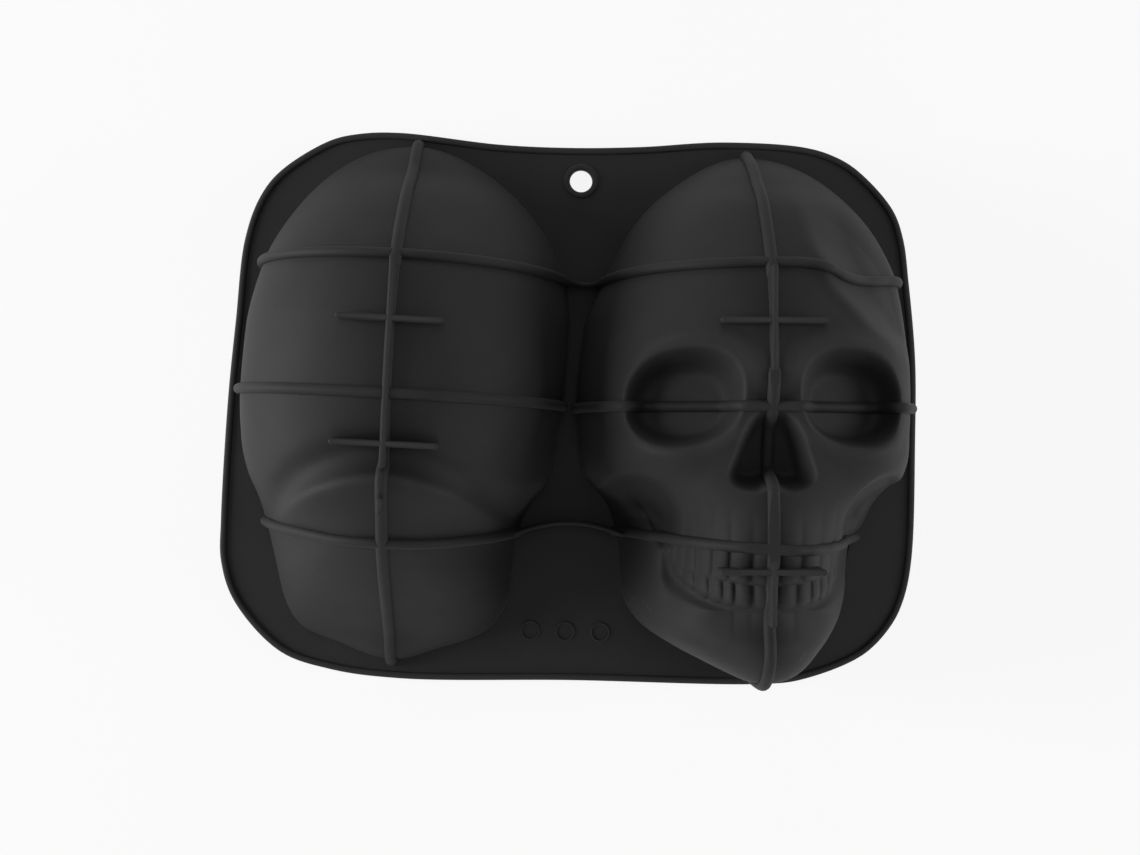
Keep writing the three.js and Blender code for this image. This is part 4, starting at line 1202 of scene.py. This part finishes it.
def camera():
    """The camera at the photograph's place, looking down on the mould."""
    turn = Matrix.Identity(3)
    for angle, axis in zip(CAMERA_TURN, "XYZ"):
        turn = turn @ Matrix.Rotation(math.radians(angle), 3, axis)
    back = turn.transposed()
    place = back @ Vector(-CAMERA_SHIFT) - Vector((0, CAMERA_PLAN_Y, 0)) + Vector((*ORIGIN, 0))
    data = bpy.data.cameras.new("camera")
    data.sensor_width = SENSOR_WIDTH
    data.lens = SENSOR_WIDTH * CAMERA_PIXELS / IMAGE_WIDTH
    data.clip_start = 0.01
    eye = bpy.data.objects.new("camera", data)
    eye.matrix_world = Matrix.Translation(place * MM) @ back.to_4x4()
    bpy.context.collection.objects.link(eye)
    bpy.context.scene.camera = eye


# Putting it together

# Blades and crossbars, by their places along the half
BACK_FOOT_SPAN = (58, -29)
BACK_CROSSBARS = [32, -18.8]
TAIL_SPAN = (-40.5, -47.5)
FOREHEAD_SPAN = (58.5, 15)
FOREHEAD_CROSSBARS = [35.9]
MOUTH_SPAN = (-61, -89)
MOUTH_CROSSBARS = [-66.3]

# The ties' places along the back and the face half
CROWN_TIE = (BACK_CROWN_PLACE, 58.5)
JAW_TIE = (-56.6, -55.2)

# Rows, (from v, to v, steps), and columns of the shells' surfaces: the closest rows are at the teeth
BACK_OUTSIDE = ([(HALF_LENGTH, -HALF_LENGTH, 240)], 161)
BACK_INSIDE = ([(HALF_LENGTH, -HALF_LENGTH, 120)], 81)
FACE_OUTSIDE = ([(HALF_LENGTH, -50, 260), (-50, -88, 130), (-88, -HALF_LENGTH, 60)], 361)
FACE_INSIDE = ([(HALF_LENGTH, -HALF_LENGTH, 200)], 141)

# Stretches of the spine beads that are sunk under the blades: (from v, to v, depth)
BACK_SUNK = [(57, -31, 2.4)]
FACE_SUNK = [(57.5, 13, 2.4), (-63, -91, 1)]


def build_halves():
    """The two shells, their beads and the feet on them."""
    shell(BACK, BACK_OUTSIDE, BACK_INSIDE)
    shell(FACE, FACE_OUTSIDE, FACE_INSIDE)
    spine_rib(BACK, BACK_SUNK)
    spine_rib(FACE, FACE_SUNK)
    cross_rib(BACK, "crown", level(BACK_CROWN_PLACE))
    cross_rib(BACK, "middle", level(BACK_MIDDLE_PLACE))
    cross_rib(BACK, "jaw", BACK_JAW)
    cross_rib(FACE, "crown", FACE_CROWN)
    cross_rib(FACE, "eye", level(FACE_EYE_PLACE))
    cross_rib(FACE, "jaw", FACE_JAW, FACE_JAW_EVENING)
    foot(BACK, "back_foot", BACK_FOOT_SPAN, BACK_CROSSBARS)
    foot(BACK, "back_foot_tail", TAIL_SPAN, [])
    foot(FACE, "forehead_foot", FOREHEAD_SPAN, FOREHEAD_CROSSBARS)
    foot(FACE, "mouth_foot", MOUTH_SPAN, MOUTH_CROSSBARS)


def build_sheet():
    """The sheet, its rim, collar and rings, and the ties that stand on it."""
    plate()
    rim()
    hang_collar()
    for label, place in (("left", -1), ("middle", 0), ("right", 1)):
        care_ring(label, place)
    web("crown_tie", "crown_web", CROWN_TIE, bow=-0.8, middle_rise=7.0)
    web("jaw_tie", "jaw_web", JAW_TIE, bow=4.0, middle_rise=8.0)


bpy.context.scene.view_settings.view_transform = "Standard"
silicone_material(SILICONE, edge_wear_and_highlight=True)
silicone_material(SHEET_SILICONE, edge_wear_and_highlight=False)
build_halves()
build_sheet()
floor()
world()
for label, (azimuth, elevation, watts) in LAMPS.items():
    softbox(label, azimuth, elevation, watts)
camera()
